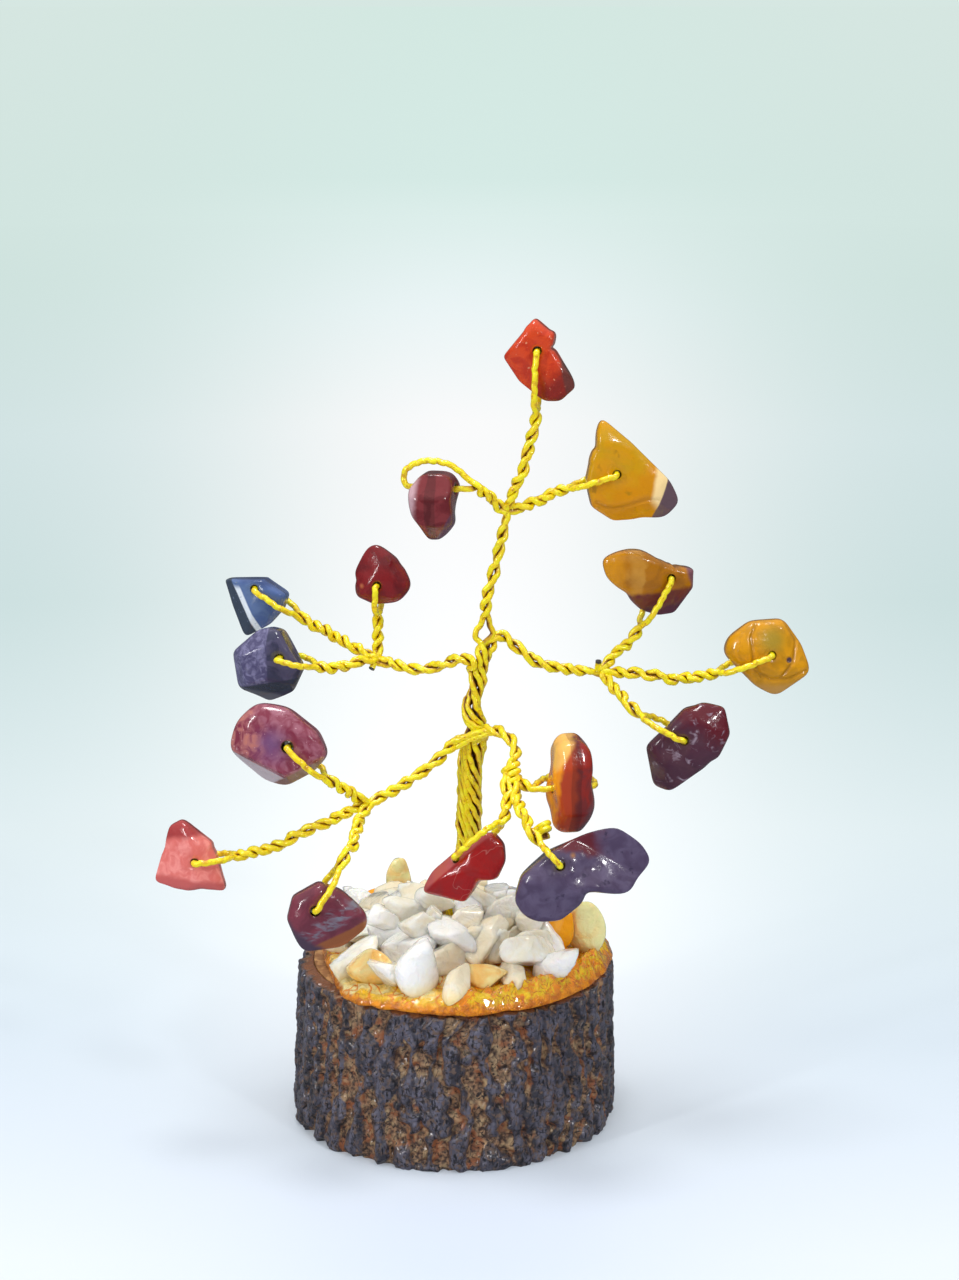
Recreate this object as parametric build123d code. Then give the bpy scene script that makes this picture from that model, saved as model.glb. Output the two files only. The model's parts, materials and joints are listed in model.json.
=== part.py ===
# Gemstone tree ornament: bored gem chips on twisted brass-coloured wire, set in a log slice topped with quartz.
# All lengths are in millimetres. The slice stands on its sawn underside, centred on the origin, front at -Y, +Z up.
from build123d import *
from dataclasses import dataclass
from math import asin, atan2, ceil, cos, degrees, floor, hypot, pi, radians, sin
import os
import random

# Log slice
log_height = 21.0
log_diameter = 42.0
bark_thickness = 2.2
bark_rib_depth = 0.7
bark_rib_count = 34
bark_top_share = 0.985
glue_line = 0.1
socket_depth = 10.0
socket_clearance = 0.35

# Glue and quartz on top of the slice
glue_edge_height = 0.8
glue_crown_height = 3.6
glue_rim_margin = 0.7
quartz_ring_count = 3
quartz_thickness = 3.6
quartz_gap = 0.25
quartz_trunk_gap = 0.375
citrine_place_shares = (0.0, 0.3, 0.55, 0.72)
seat_gap = 0.12

# Tree
tree_height = 84.0
tree_spread = 82.0
wire_diameter = 0.65
strand_gap = 0.07
stem_pitch = 4.2
branch_pitch = 4.6
trunk_pitch = 24.0
trunk_low_radius = 1.3
trunk_high_radius = 0.82
trunk_step = 1.3
knot_diameter = 2.4
knot_gap = 0.15
stem_gap = 0.4

# Chips
chip_length = 12.0
chip_thickness = 4.6

# Wire loop through a chip
hole_diameter = 1.0
face_gap = 0.25
hole_bend = 0.35
neck_run = 1.3
neck_room = 1.0
neck_spread_degrees = 12
crossing_room = 0.65

# Facets
level_run_share = 0.3
wire_sides = 4
stem_steps_per_turn = 8
hole_sides = 10
glue_sides = 28
knot_sides = 7

# Heights where bundles leave the trunk, as shares of the tree's height over the slice
low_exit_share = 0.352
high_exit_share = 0.495
top_exit_share = 0.546
settling_share = 0.04

# Middle line of the trunk: (x share of the spread, z share of the tree's height)
trunk_line_shares = (
    (0.0, -0.12), (0.0, 0.02), (0.004, 0.083), (0.018, 0.173), (0.021, 0.31),
    (0.030, 0.363), (0.024, 0.401), (0.034, 0.461), (0.042, 0.502), (0.046, 0.55),
)

# Places on each branch from the trunk to its junction: (x, y) shares of the spread, z share of the tree's height
branch_routes_shares = {
    "top": ((0.047, -0.006, 0.575), (0.056, 0.0, 0.604), (0.068, 0.0, 0.658), (0.079, 0.0, 0.708)),
    "left": ((0.012, 0.004, 0.508), (-0.008, 0.008, 0.487), (-0.035, 0.016, 0.466), (-0.078, 0.026, 0.460),
             (-0.124, 0.037, 0.470)),
    "right": ((0.070, 0.020, 0.512), (0.092, 0.020, 0.497), (0.130, 0.018, 0.470), (0.180, 0.022, 0.458),
              (0.227, 0.024, 0.454)),
    "low_left": ((-0.001, -0.022, 0.360), (-0.018, -0.036, 0.346), (-0.045, -0.054, 0.322),
                 (-0.090, -0.078, 0.298), (-0.136, -0.098, 0.280)),
    "low_right": ((0.048, -0.030, 0.376), (0.070, -0.050, 0.378), (0.090, -0.078, 0.368), (0.092, -0.104, 0.352),
                  (0.079, -0.122, 0.337)),
}

# Slot of each pair of wires round the trunk at the low exits, in degrees, and the same after the low pairs have left
low_slots_degrees = {"top": 74, "left": 2, "right": 146, "low_left": 218, "low_right": 290}
high_slots_degrees = {"top": 110, "left": -10, "right": 230}
exit_shares = {
    "top": top_exit_share,
    "left": high_exit_share,
    "right": high_exit_share,
    "low_left": low_exit_share,
    "low_right": low_exit_share,
}


@dataclass
class Chip:
    """A bored gem chip: its outline lies across the hole's axis, seen from the side that the axis points to."""

    name: str
    branch: str
    length_share: float
    thickness_share: float
    place_share: tuple
    turn: float
    tilt: float
    neck_angle: float
    swing: float
    outline_shares: tuple
    crown_share: float = 0.72
    back_share: float = 0.8
    beside: bool = False
    via_share: tuple = ()

    @property
    def length(self):
        return self.length_share * chip_length

    @property
    def thickness(self):
        return self.thickness_share * chip_thickness


chips = [
    Chip("red_top", "top", 0.908, 0.957, (0.127, 0.0, 0.954), -8, 4, -92, 25,
         ((-0.19, 0.19), (-0.41, -0.08), (-0.22, -0.36), (0.07, -0.58), (0.26, -0.58), (0.42, -0.41),
          (0.39, -0.32), (0.17, 0.03), (0.19, 0.17), (-0.05, 0.37))),
    Chip("mustard_fin", "top", 1.267, 0.826, (0.247, 0.037, 0.762), 6, 4, 197, 30,
         ((-0.18, 0.28), (-0.25, -0.06), (-0.20, -0.28), (-0.02, -0.40), (0.42, -0.38), (0.55, -0.25),
          (0.46, -0.07), (0.13, 0.26), (-0.12, 0.47))),
    Chip("wine_hanging", "top", 0.767, 1.087, (-0.033, -0.024, 0.750), 80, 0, 90, 40,
         ((-0.16, 0.22), (-0.38, -0.10), (-0.36, -0.45), (-0.12, -0.76), (0.20, -0.78), (0.38, -0.50),
          (0.36, -0.05), (0.16, 0.22)), beside=True),
    Chip("wine_heart", "left", 0.683, 0.870, (-0.121, 0.073, 0.582), -10, 4, -94, 35,
         ((-0.22, 0.54), (-0.41, 0.17), (-0.38, -0.19), (-0.08, -0.33), (0.32, -0.27), (0.52, -0.02),
          (0.32, 0.38), (-0.08, 0.65))),
    Chip("blue_blade", "left", 0.725, 0.826, (-0.316, 0.098, 0.571), -12, 4, -32, 35,
         ((-0.39, -0.29), (-0.20, -0.77), (0.18, -0.56), (0.39, -0.32), (0.47, -0.08), (0.11, 0.14),
          (-0.51, 0.12))),
    Chip("violet_block", "left", 0.792, 1.087, (-0.271, 0.0, 0.484), -14, 6, -12, 30,
         ((-0.35, 0.35), (-0.70, 0.03), (-0.62, -0.45), (-0.18, -0.61), (0.15, -0.46), (0.28, -0.15),
          (-0.04, 0.36), (-0.18, 0.39))),
    Chip("amber_boot", "right", 1.050, 1.000, (0.335, 0.073, 0.594), 8, 4, 240, 30,
         ((-0.65, 0.01), (-0.29, -0.34), (-0.11, -0.40), (0.06, -0.38), (0.25, -0.12), (0.25, 0.07),
          (-0.01, 0.14), (-0.29, 0.29), (-0.54, 0.27), (-0.70, 0.20))),
    Chip("honey", "right", 0.975, 1.087, (0.489, 0.0, 0.490), 5, 6, 200, 30,
         ((-0.51, 0.01), (-0.15, -0.36), (0.08, -0.48), (0.46, -0.21), (0.35, 0.10), (0.15, 0.38),
          (-0.22, 0.36), (-0.46, 0.18))),
    Chip("plum_disc", "right", 1.142, 1.000, (0.357, -0.061, 0.372), -10, 6, 155, 30,
         ((-0.03, 0.28), (-0.19, 0.10), (-0.37, -0.09), (-0.29, -0.46), (-0.13, -0.51), (0.31, -0.17),
          (0.41, 0.06), (0.35, 0.31), (0.14, 0.35))),
    Chip("rose", "low_left", 1.067, 1.043, (-0.252, -0.122, 0.379), -8, 8, -42, 25,
         ((-0.54, 0.22), (-0.62, -0.07), (-0.25, -0.36), (-0.04, -0.41), (0.24, -0.25), (0.38, -0.08),
          (0.27, 0.14), (-0.04, 0.37), (-0.34, 0.40))),
    Chip("coral", "low_left", 0.883, 1.000, (-0.399, -0.122, 0.198), -6, 8, 8, 30,
         ((-0.34, 0.41), (-0.43, 0.08), (-0.53, -0.28), (-0.12, -0.37), (0.34, -0.34), (0.26, -0.06),
          (0.18, 0.22), (-0.18, 0.50))),
    Chip("plum_pear", "low_left", 0.842, 1.000, (-0.213, -0.232, 0.160), 8, 8, 57, 35,
         ((-0.26, 0.16), (-0.34, -0.12), (-0.17, -0.54), (0.33, -0.50), (0.65, -0.27), (0.65, -0.09),
          (0.35, 0.21), (0.07, 0.33))),
    Chip("crimson_wedge", "low_right", 1.017, 1.000, (0.007, -0.183, 0.221), -20, 16, 46, 30,
         ((-0.03, 0.08), (-0.28, -0.17), (-0.36, -0.39), (0.10, -0.44), (0.22, -0.24), (0.42, -0.17),
          (0.49, 0.03), (0.45, 0.20), (0.30, 0.32)), via_share=((0.050, -0.140, 0.293),)),
    Chip("grape_long", "low_right", 1.483, 1.043, (0.154, -0.244, 0.234), 6, 10, 131, 20,
         ((-0.08, 0.08), (-0.26, -0.08), (-0.31, -0.25), (-0.22, -0.41), (0.01, -0.40), (0.26, -0.21),
          (0.44, -0.23), (0.66, -0.01), (0.58, 0.12), (0.41, 0.24), (0.20, 0.19), (0.05, 0.13))),
    Chip("sunset_bar", "low_right", 1.058, 1.087, (0.175, -0.146, 0.319), -80, 0, 180, 20,
         ((-0.30, -0.25), (-0.12, -0.42), (0.16, -0.41), (0.33, -0.20), (0.35, 0.30), (0.22, 0.52),
          (-0.08, 0.57), (-0.29, 0.38)), beside=True),
]

# Sizes worked out from those above
wire_radius = wire_diameter / 2
strand_offset = (wire_diameter + strand_gap) / 2
core_radius = log_diameter / 2 - bark_thickness
trunk_diameter = 2 * trunk_low_radius + wire_diameter
glue_radius = core_radius - glue_rim_margin
quartz_room = glue_radius - trunk_diameter / 2 - quartz_trunk_gap
quartz_length = (quartz_room + quartz_gap) / quartz_ring_count - quartz_gap


def skin(rings):
    """Closed solid with flat sides between rings of points, capped by the first and the last ring."""
    faces = [Face(Wire.make_polygon(ring, close=True)) for ring in (rings[0], rings[-1])]
    for low, high in zip(rings, rings[1:]):
        for k in range(len(low)):
            after = (k + 1) % len(low)
            faces.append(Face(Wire.make_polygon([low[k], low[after], high[after], high[k]], close=True)))
    return Solid(Shell(faces))


def tree_point(share):
    """Place in the tree from its (x, y, z) shares of the spread and of the height over the slice."""
    x_share, y_share, z_share = share
    return Vector(x_share * tree_spread, y_share * tree_spread, log_height + z_share * tree_height)


def eased(position):
    """Runs from 0 to 1 with level ends."""
    position = min(max(position, 0), 1)
    return position * position * (3 - 2 * position)


def wire_rings(points):
    """Sections of a round wire with flat facets along a path, mitred at every point."""
    runs = [(after - before).normalized() for before, after in zip(points, points[1:])]
    across = runs[0].cross(Vector(0, 0, 1))
    if across.length < level_run_share:
        across = runs[0].cross(Vector(1, 0, 0))
    across = across.normalized()
    upright = runs[0].cross(across)
    ring = []
    for k in range(wire_sides):
        angle = 2 * pi * (k + 0.5) / wire_sides
        ring.append(points[0] + (across * cos(angle) + upright * sin(angle)) * wire_radius)
    rings = [ring]
    for k in range(1, len(points)):
        along = runs[k - 1]
        facing = along
        if k < len(runs):
            facing = along + runs[k]
        ring = [corner + along * ((points[k] - corner).dot(facing) / along.dot(facing)) for corner in ring]
        rings.append(ring)
    return rings


def carried_sides(points, first_side):
    """One side vector for each point of a path, square to the path, that turns as little as it can."""
    sides = []
    side = first_side
    for k in range(len(points)):
        before = points[max(k - 1, 0)]
        after = points[min(k + 1, len(points) - 1)]
        along = (after - before).normalized()
        side = (side - along * side.dot(along)).normalized()
        sides.append((along, side))
    return sides


def smooth_path(places, leaving, step):
    """Points a step apart or closer on a smooth curve through places, which starts in a given direction."""
    heads = [leaving.normalized()]
    for before, after in zip(places, places[2:]):
        heads.append((after - before).normalized())
    heads.append((places[-1] - places[-2]).normalized())
    points = [places[0]]
    for k in range(len(places) - 1):
        run = (places[k + 1] - places[k]).length
        count = ceil(run / step)
        for taken in range(1, count + 1):
            t = taken / count
            straight = places[k] * (1 - eased(t)) + places[k + 1] * eased(t)
            bulge = heads[k] * (t * (1 - t) ** 2) - heads[k + 1] * (t**2 * (1 - t))
            points.append(straight + bulge * run)
    return points


def even_points(curve, step):
    """Points along a curve, one every step or a little closer."""
    count = ceil(curve.length / step)
    return [curve.position_at(k / count) for k in range(count + 1)]


# Log slice

def make_log_core():
    core = Cylinder(core_radius, log_height, align=(Align.CENTER, Align.CENTER, Align.MIN))
    socket = Pos(0, 0, log_height - socket_depth) * Cylinder(
        trunk_diameter / 2 + socket_clearance, socket_depth, align=(Align.CENTER, Align.CENTER, Align.MIN)
    )
    return core - socket


def bark_outline(size_share, height):
    """Points of the bark's outline: uneven ribs with narrow furrows between them."""
    points = []
    for k in range(bark_rib_count):
        for place_share, depth_share in ((0.0, 0.0), (0.42, 0.18), (0.72, 1.0)):
            angle = 2 * pi * (k + place_share + 0.14 * sin(2.3 * k)) / bark_rib_count
            unevenness = bark_rib_depth * (0.35 * sin(3 * angle + 0.7) + 0.25 * sin(1.9 * k))
            depth = bark_rib_depth * depth_share * (0.8 + 0.2 * sin(2.9 * k))
            radius = (log_diameter / 2 - bark_rib_depth / 2 + unevenness - depth) * size_share
            points.append(Vector(radius * cos(angle), radius * sin(angle), height))
    return points


def make_log_bark():
    ring = skin([bark_outline(1.0, 0), bark_outline(bark_top_share, log_height)])
    bore = Cylinder(core_radius + glue_line, log_height, align=(Align.CENTER, Align.CENTER, Align.MIN))
    return ring - bore


# Glue and quartz

def glue_height(radius):
    """Height of the glue's domed top over the slice at a radius."""
    fall = (radius / glue_radius) ** 2
    return glue_crown_height + (glue_edge_height - glue_crown_height) * fall


def make_glue_bed():
    trunk_bore = trunk_diameter / 2 + socket_clearance
    rings = []
    for radius_share, on_top in ((1.0, False), (1.0, True), (0.72, True), (0.4, True), (0.2, True)):
        ring = []
        for k in range(glue_sides):
            angle = 2 * pi * k / glue_sides
            run_share = 1 + 0.02 * sin(3 * angle + 1)
            radius = glue_radius * radius_share
            height = log_height + seat_gap / 2
            if on_top:
                height = log_height + glue_height(radius)
            ring.append(Vector(radius * run_share * cos(angle), radius * run_share * sin(angle), height))
        rings.append(ring)
    bore = Pos(0, 0, log_height) * Cylinder(
        trunk_bore, glue_crown_height, align=(Align.CENTER, Align.CENTER, Align.MIN)
    )
    return skin(rings) - bore


def pebble(frame, length, thickness, seed):
    """Small tumbled chip with flat facets, standing on its frame's origin."""
    chance = random.Random(seed)
    first_angle = chance.uniform(0, 2 * pi)
    reaches = [chance.uniform(0.82, 1.0) for _ in range(5)]
    rings = []
    for height_share, width_share in ((0.0, 0.62), (0.38, 1.0), (0.7, 0.94), (1.0, 0.5)):
        ring = []
        for k, reach in enumerate(reaches):
            angle = first_angle + 2 * pi * k / len(reaches)
            radius = length / 2 * reach * width_share
            ring.append(Vector(radius * cos(angle), radius * sin(angle), thickness * height_share))
        rings.append(ring)
    return skin(rings).moved(frame.location)


def dome_frame(radius, angle, lift):
    """Frame on the glue's dome, with its z axis along the dome's normal, raised by a lift."""
    slope = 2 * (glue_edge_height - glue_crown_height) * radius / glue_radius**2
    outward = Vector(cos(angle), sin(angle), 0)
    normal = (Vector(0, 0, 1) - outward * slope).normalized()
    foot = outward * radius + Vector(0, 0, log_height + glue_height(radius))
    return Plane(origin=foot + normal * lift, x_dir=outward.cross(normal), z_dir=normal)


def chip_ring(radius, lift, first_angle, seed, skipped=()):
    """One ring of quartz chips laid side by side at a radius."""
    half_slot = (quartz_length + quartz_gap) / 2
    count = floor(pi / asin(half_slot / radius))
    stones = {}
    for k in range(count):
        if k not in skipped:
            angle = first_angle + 2 * pi * k / count
            stones[k] = pebble(dome_frame(radius, angle, lift), quartz_length, quartz_thickness, seed + k)
    return stones


rim_ring_radius = glue_radius - quartz_length / 2
middle_ring_radius = rim_ring_radius - quartz_length - quartz_gap
inner_ring_radius = middle_ring_radius - quartz_length - quartz_gap
rim_slot_count = floor(pi / asin((quartz_length + quartz_gap) / 2 / rim_ring_radius))
citrine_slots = [floor(rim_slot_count * share) for share in citrine_place_shares]


def make_quartz_rim():
    return list(chip_ring(rim_ring_radius, seat_gap, 0, 100, citrine_slots).values())


def make_citrine():
    slots = chip_ring(rim_ring_radius, seat_gap, 0, 100)
    return [slots[k] for k in citrine_slots]


def make_quartz_middle():
    outer = chip_ring(middle_ring_radius, seat_gap, 0.2, 200).values()
    inner = chip_ring(inner_ring_radius, seat_gap, 0.5, 300).values()
    return [*outer, *inner]


def make_quartz_crest():
    lift = quartz_thickness + 2 * seat_gap
    radius = (middle_ring_radius + inner_ring_radius) / 2
    return list(chip_ring(radius, lift, 0.9, 400).values())


# Trunk and branches

def trunk_centre(height_share):
    """Middle of the trunk at a share of the tree's height over the slice."""
    table = trunk_line_shares
    for (low_x, low_z), (high_x, high_z) in zip(table, table[1:]):
        if height_share <= high_z:
            break
    x_share = low_x + (high_x - low_x) * eased((height_share - low_z) / (high_z - low_z))
    return tree_point((x_share, 0, height_share))


def trunk_strand(branch, hand):
    """One wire of a branch's pair up the trunk, winding round the trunk's middle line in its slot."""
    start_share = (wire_radius - socket_depth) / tree_height
    rise_share = exit_shares[branch] - start_share
    count = ceil(rise_share * tree_height / trunk_step)
    points = []
    for k in range(count + 1):
        height_share = start_share + rise_share * k / count
        settled = eased((height_share - low_exit_share) / settling_share)
        low_slot = low_slots_degrees[branch] + hand * 90 / len(low_slots_degrees)
        high_slot = low_slot
        if branch in high_slots_degrees:
            high_slot = high_slots_degrees[branch] + hand * 90 / len(high_slots_degrees)
        turned = 360 * (height_share - low_exit_share) * tree_height / trunk_pitch
        angle = radians(low_slot + settled * (high_slot - low_slot) + turned)
        radius = trunk_low_radius + settled * (trunk_high_radius - trunk_low_radius)
        points.append(trunk_centre(height_share) + Vector(radius * cos(angle), radius * sin(angle), 0))
    return points


def branch_strands(branch, starts, along):
    """The two wires of a branch, twisted round its middle line from the trunk to just short of the junction."""
    middle = (starts[0] + starts[1]) * 0.5
    places = [tree_point(share) for share in branch_routes_shares[branch]]
    arriving = (places[-1] - places[-2]).normalized()
    places[-1] = places[-1] - arriving * (knot_diameter / 2 + knot_gap)
    points = smooth_path([middle, *places], along, branch_pitch / stem_steps_per_turn)
    first_side = starts[0] - middle
    strands = ([], [])
    travelled = 0
    for k, (along, side) in enumerate(carried_sides(points, first_side.normalized())):
        if k:
            travelled += (points[k] - points[k - 1]).length
            settled = eased(k / 3)
            turned = 2 * pi * travelled / branch_pitch
            reach = first_side.length + settled * (strand_offset - first_side.length)
            offset = (side * cos(turned) + along.cross(side) * sin(turned)) * reach
            strands[0].append(points[k] + offset)
            strands[1].append(points[k] - offset)
    return strands


def pair_rings(branch):
    """Sections of both wires of a branch, in the trunk and on the branch."""
    in_trunk = [trunk_strand(branch, hand) for hand in (1, -1)]
    along = in_trunk[0][-1] + in_trunk[1][-1] - in_trunk[0][-2] - in_trunk[1][-2]
    beyond = branch_strands(branch, (in_trunk[0][-1], in_trunk[1][-1]), along)
    count = len(in_trunk[0])
    whole = [wire_rings([*inner, *outer]) for inner, outer in zip(in_trunk, beyond)]
    return [rings[:count] for rings in whole], [rings[count - 1:] for rings in whole]


def make_trunk_wires(branch):
    return [skin(rings) for rings in pair_rings(branch)[0]]


def make_knot(branch):
    """Lump where a branch's wire crosses itself between its three stems."""
    places = [tree_point(share) for share in branch_routes_shares[branch]]
    frame = Plane(origin=places[-1], z_dir=places[-1] - places[-2])
    rings = []
    for height_share, width_share in ((-0.5, 0.25), (-0.28, 0.46), (0.22, 0.5), (0.5, 0.25)):
        ring = []
        for k in range(knot_sides):
            angle = 2 * pi * k / knot_sides
            radius = knot_diameter * width_share
            ring.append(Vector(radius * cos(angle), radius * sin(angle), knot_diameter * height_share))
        rings.append(ring)
    return skin(rings).moved(frame.location)


def make_branch(branch):
    """The branch's two twisted wires, from a cut where they leave the trunk, and the knot at their end."""
    wires = []
    for rings in pair_rings(branch)[1]:
        along = (rings[1][0] - rings[0][0]).normalized()
        rings[0] = [corner + along * seat_gap for corner in rings[0]]
        wires.append(skin(rings))
    return [*wires, make_knot(branch)]


# Chips and stems

def chip_frame(chip):
    """Frame at the middle of a chip's hole: z along the hole's axis to its seen side, y upward."""
    turn = radians(chip.turn)
    tilt = radians(chip.tilt)
    facing = Vector(sin(turn) * cos(tilt), -cos(turn) * cos(tilt), sin(tilt))
    return Plane(origin=tree_point(chip.place_share), x_dir=Vector(cos(turn), sin(turn), 0), z_dir=facing)


def outline_points(chip):
    return [(x_share * chip.length, y_share * chip.length) for x_share, y_share in chip.outline_shares]


def outline_reach(chip, angle):
    """Distance from the hole to the outline at an angle in degrees."""
    direction = (cos(radians(angle)), sin(radians(angle)))
    points = outline_points(chip)
    reach = 0
    for (ax, ay), (bx, by) in zip(points, points[1:] + points[:1]):
        cross = direction[0] * (by - ay) - direction[1] * (bx - ax)
        if cross:
            distance = (ax * (by - ay) - ay * (bx - ax)) / cross
            side = (ax * direction[1] - ay * direction[0]) / cross
            if 0 <= side <= 1 and distance > reach:
                reach = distance
    return reach


def swept_reach(chip):
    """Longest reach of the outline that the chip's swing brings to its neck, with room for the neck's width."""
    spread = chip.swing + neck_spread_degrees
    swept = [outline_reach(chip, chip.neck_angle + spread * k / 8) for k in range(-8, 9)]
    for x, y in outline_points(chip):
        away = (degrees(atan2(y, x)) - chip.neck_angle + 180) % 360 - 180
        if abs(away) <= spread:
            swept.append(hypot(x, y))
    return max(swept)


def make_chip(chip):
    """Tumbled chip: outline with sloping shoulders on both faces, bored straight through."""
    points = outline_points(chip)
    centre_x = sum(x for x, _ in points) / len(points)
    centre_y = sum(y for _, y in points) / len(points)
    rings = []
    for height_share, width_share in (
        (-0.5, chip.back_share), (-0.2, 1.0), (0.14, 1.0), (0.5, chip.crown_share)
    ):
        ring = []
        for x, y in points:
            wide_x = centre_x + (x - centre_x) * width_share
            wide_y = centre_y + (y - centre_y) * width_share
            ring.append(Vector(wide_x, wide_y, chip.thickness * height_share))
        rings.append(ring)
    hole = extrude(RegularPolygon(hole_diameter / 2, hole_sides), chip.thickness / 2, both=True)
    return (skin(rings) - hole).moved(chip_frame(chip).location)


def loop_points(chip):
    """Middle line of the wire through and beside a chip, in the chip's frame, from one strand's neck to the other."""
    angle = radians(chip.neck_angle)
    toward = Vector(cos(angle), sin(angle), 0)
    facing = Vector(0, 0, 1)
    out = chip.thickness / 2 + face_gap + wire_radius
    inner = out - hole_bend
    if chip.beside:
        crossing = swept_reach(chip) + crossing_room
        neck = out + neck_run
        return [
            facing * neck,
            facing * -inner,
            toward * hole_bend - facing * out,
            toward * (crossing - hole_bend) - facing * out,
            toward * crossing - facing * inner,
            toward * crossing + facing * (inner - hole_bend),
            toward * (2 * strand_offset) + facing * neck,
        ]
    reach = swept_reach(chip) + neck_room
    return [
        toward * reach + facing * strand_offset,
        toward * (reach - neck_run) + facing * out,
        toward * hole_bend + facing * out,
        facing * inner,
        facing * -inner,
        toward * hole_bend - facing * out,
        toward * (reach - neck_run) - facing * out,
        toward * reach - facing * strand_offset,
    ]


def stem_curve(chip, neck, leaving):
    """Middle line of a stem from the chip's neck to its branch's junction."""
    junction = tree_point(branch_routes_shares[chip.branch][-1])
    via = [tree_point(share) for share in chip.via_share]
    arriving = (junction - (via[-1] if via else neck)).normalized()
    end = junction - arriving * (knot_diameter / 2 + stem_gap)
    return Spline(neck, *via, end, tangents=(leaving, arriving))


def make_stem(chip):
    """One unbroken wire: up one strand of the twist, round through the chip's hole and down the other strand."""
    frame = chip_frame(chip)
    loop = [frame.from_local_coords(point) for point in loop_points(chip)]
    neck = (loop[0] + loop[-1]) * 0.5
    angle = radians(chip.neck_angle)
    leaving = frame.x_dir * cos(angle) + frame.y_dir * sin(angle)
    if chip.beside:
        leaving = frame.z_dir
    curve = stem_curve(chip, neck, leaving)
    points = even_points(curve, stem_pitch / stem_steps_per_turn)
    sides = carried_sides(points, (loop[0] - neck).normalized())
    first_strand = []
    second_strand = []
    travelled = 0
    for k in range(1, len(points)):
        along, side = sides[k]
        travelled += (points[k] - points[k - 1]).length
        turned = 2 * pi * travelled / stem_pitch
        offset = (side * cos(turned) + along.cross(side) * sin(turned)) * strand_offset
        first_strand.append(points[k] + offset)
        second_strand.append(points[k] - offset)
    return skin(wire_rings([*reversed(first_strand), *loop, *second_strand]))


def make_parts():
    parts = {
        "log_core": [make_log_core()],
        "log_bark": [make_log_bark()],
        "glue_bed": [make_glue_bed()],
        "quartz_rim_chips": make_quartz_rim(),
        "quartz_middle_chips": make_quartz_middle(),
        "quartz_crest_chips": make_quartz_crest(),
        "citrine_chips": make_citrine(),
    }
    for branch in branch_routes_shares:
        parts[f"trunk_wires_{branch}"] = make_trunk_wires(branch)
        parts[f"branch_{branch}"] = make_branch(branch)
    for chip in chips:
        parts[f"{chip.name}_stem"] = [make_stem(chip)]
        parts[f"{chip.name}_chip"] = [make_chip(chip)]
    return parts


parts = make_parts()
os.makedirs("parts", exist_ok=True)
for name, solids in parts.items():
    shape = solids[0] if len(solids) == 1 else Compound(children=solids)
    export_step(shape, f"parts/{name}.step")
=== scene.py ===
# Gemstone tree ornament: how it looks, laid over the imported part. Lengths are in metres, in its own frame.
from dataclasses import dataclass
import json
from math import cos, pi, radians, sin
import bpy
import numpy as np
from mathutils import Euler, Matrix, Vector


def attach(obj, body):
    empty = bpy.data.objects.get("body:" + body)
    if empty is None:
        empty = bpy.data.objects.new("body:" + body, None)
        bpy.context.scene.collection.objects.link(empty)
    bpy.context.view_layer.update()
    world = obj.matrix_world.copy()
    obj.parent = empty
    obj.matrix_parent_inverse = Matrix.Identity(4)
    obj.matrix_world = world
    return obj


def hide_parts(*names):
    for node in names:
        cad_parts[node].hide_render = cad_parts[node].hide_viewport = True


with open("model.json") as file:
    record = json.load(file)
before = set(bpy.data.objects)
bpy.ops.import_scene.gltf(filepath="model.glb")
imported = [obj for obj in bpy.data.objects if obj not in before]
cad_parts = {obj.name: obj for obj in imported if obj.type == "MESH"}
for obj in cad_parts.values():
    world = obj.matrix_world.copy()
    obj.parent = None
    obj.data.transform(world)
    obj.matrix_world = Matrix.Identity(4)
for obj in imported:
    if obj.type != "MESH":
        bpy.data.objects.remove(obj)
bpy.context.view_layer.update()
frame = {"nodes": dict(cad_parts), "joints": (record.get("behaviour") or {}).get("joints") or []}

# Log slice
log_height = 0.021
log_crest_radius = 0.0213
bark_bore_radius = 0.0189
bark_furrow_depth = 0.0010
bark_crumb_depth = 0.00055
bark_waviness = 0.00015
bark_flare = 0.0011
bark_front_drop = 0.0004
bark_ridge_length = 0.0080
bark_ridge_count = 40
bark_crumb_size = 0.0006
bark_edge_drop = 0.0007
bark_taper_share = 0.013
bark_columns = 760
bark_rows = 114

# Glue and quartz
glue_bore_radius = 0.0021
glue_radius = 0.0205
glue_foot_height = 0.02106
glue_film = 0.00001
glue_drape = 0.0003
glue_edge_height = 0.0006
glue_crown_height = 0.0036
glue_ridge_height = 0.0017
glue_ridge_width = 0.0016
glue_lump_size = 0.0024
glue_lump_height = 0.0006
glue_columns = 220
glue_rows = 60
quartz_size = 0.008
quartz_cloud_depth = 0.0005
back_fall_share = 0.55
pebble_columns = 36
pebble_rows = 24
pebble_planes = 11

# Wire
wire_diameter = 0.00080
trunk_wire_diameter = 0.00078
strand_gap = 0.00004
cad_wire_radius = 0.000325
tree_height = 0.084
tree_spread = 0.082
stem_pitch = 0.0040
branch_pitch = 0.0044
trunk_low_pitch = 0.019
trunk_high_pitch = 0.011
trunk_low_radius = 0.00134
trunk_high_radius = 0.00096
# How much more of the trunk's wires is painted with shade in the grooves between them, below the eye
trunk_groove_shade_share = 0.70
socket_depth = 0.010
junction_room = 0.0014
wire_wander = 0.00017
wander_length = 0.0029
trunk_stray = 0.00008
trunk_stray_degrees = 9
wire_kink = 0.00008
kink_length = 0.0010
eye_width = 0.0013
eye_foot_share = 0.498
eye_head_share = 0.540
clipped_length = 0.0013
control_step = 0.0004
station_step = 0.00021
wire_sides = 9
crossing_stations = 30
coil_stations = 22
coil_unevenness_share = 0.18
clipped_rise_share = 0.2
clipped_stations = 9
rounding_steps = 4
blend_stations = 15

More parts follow.
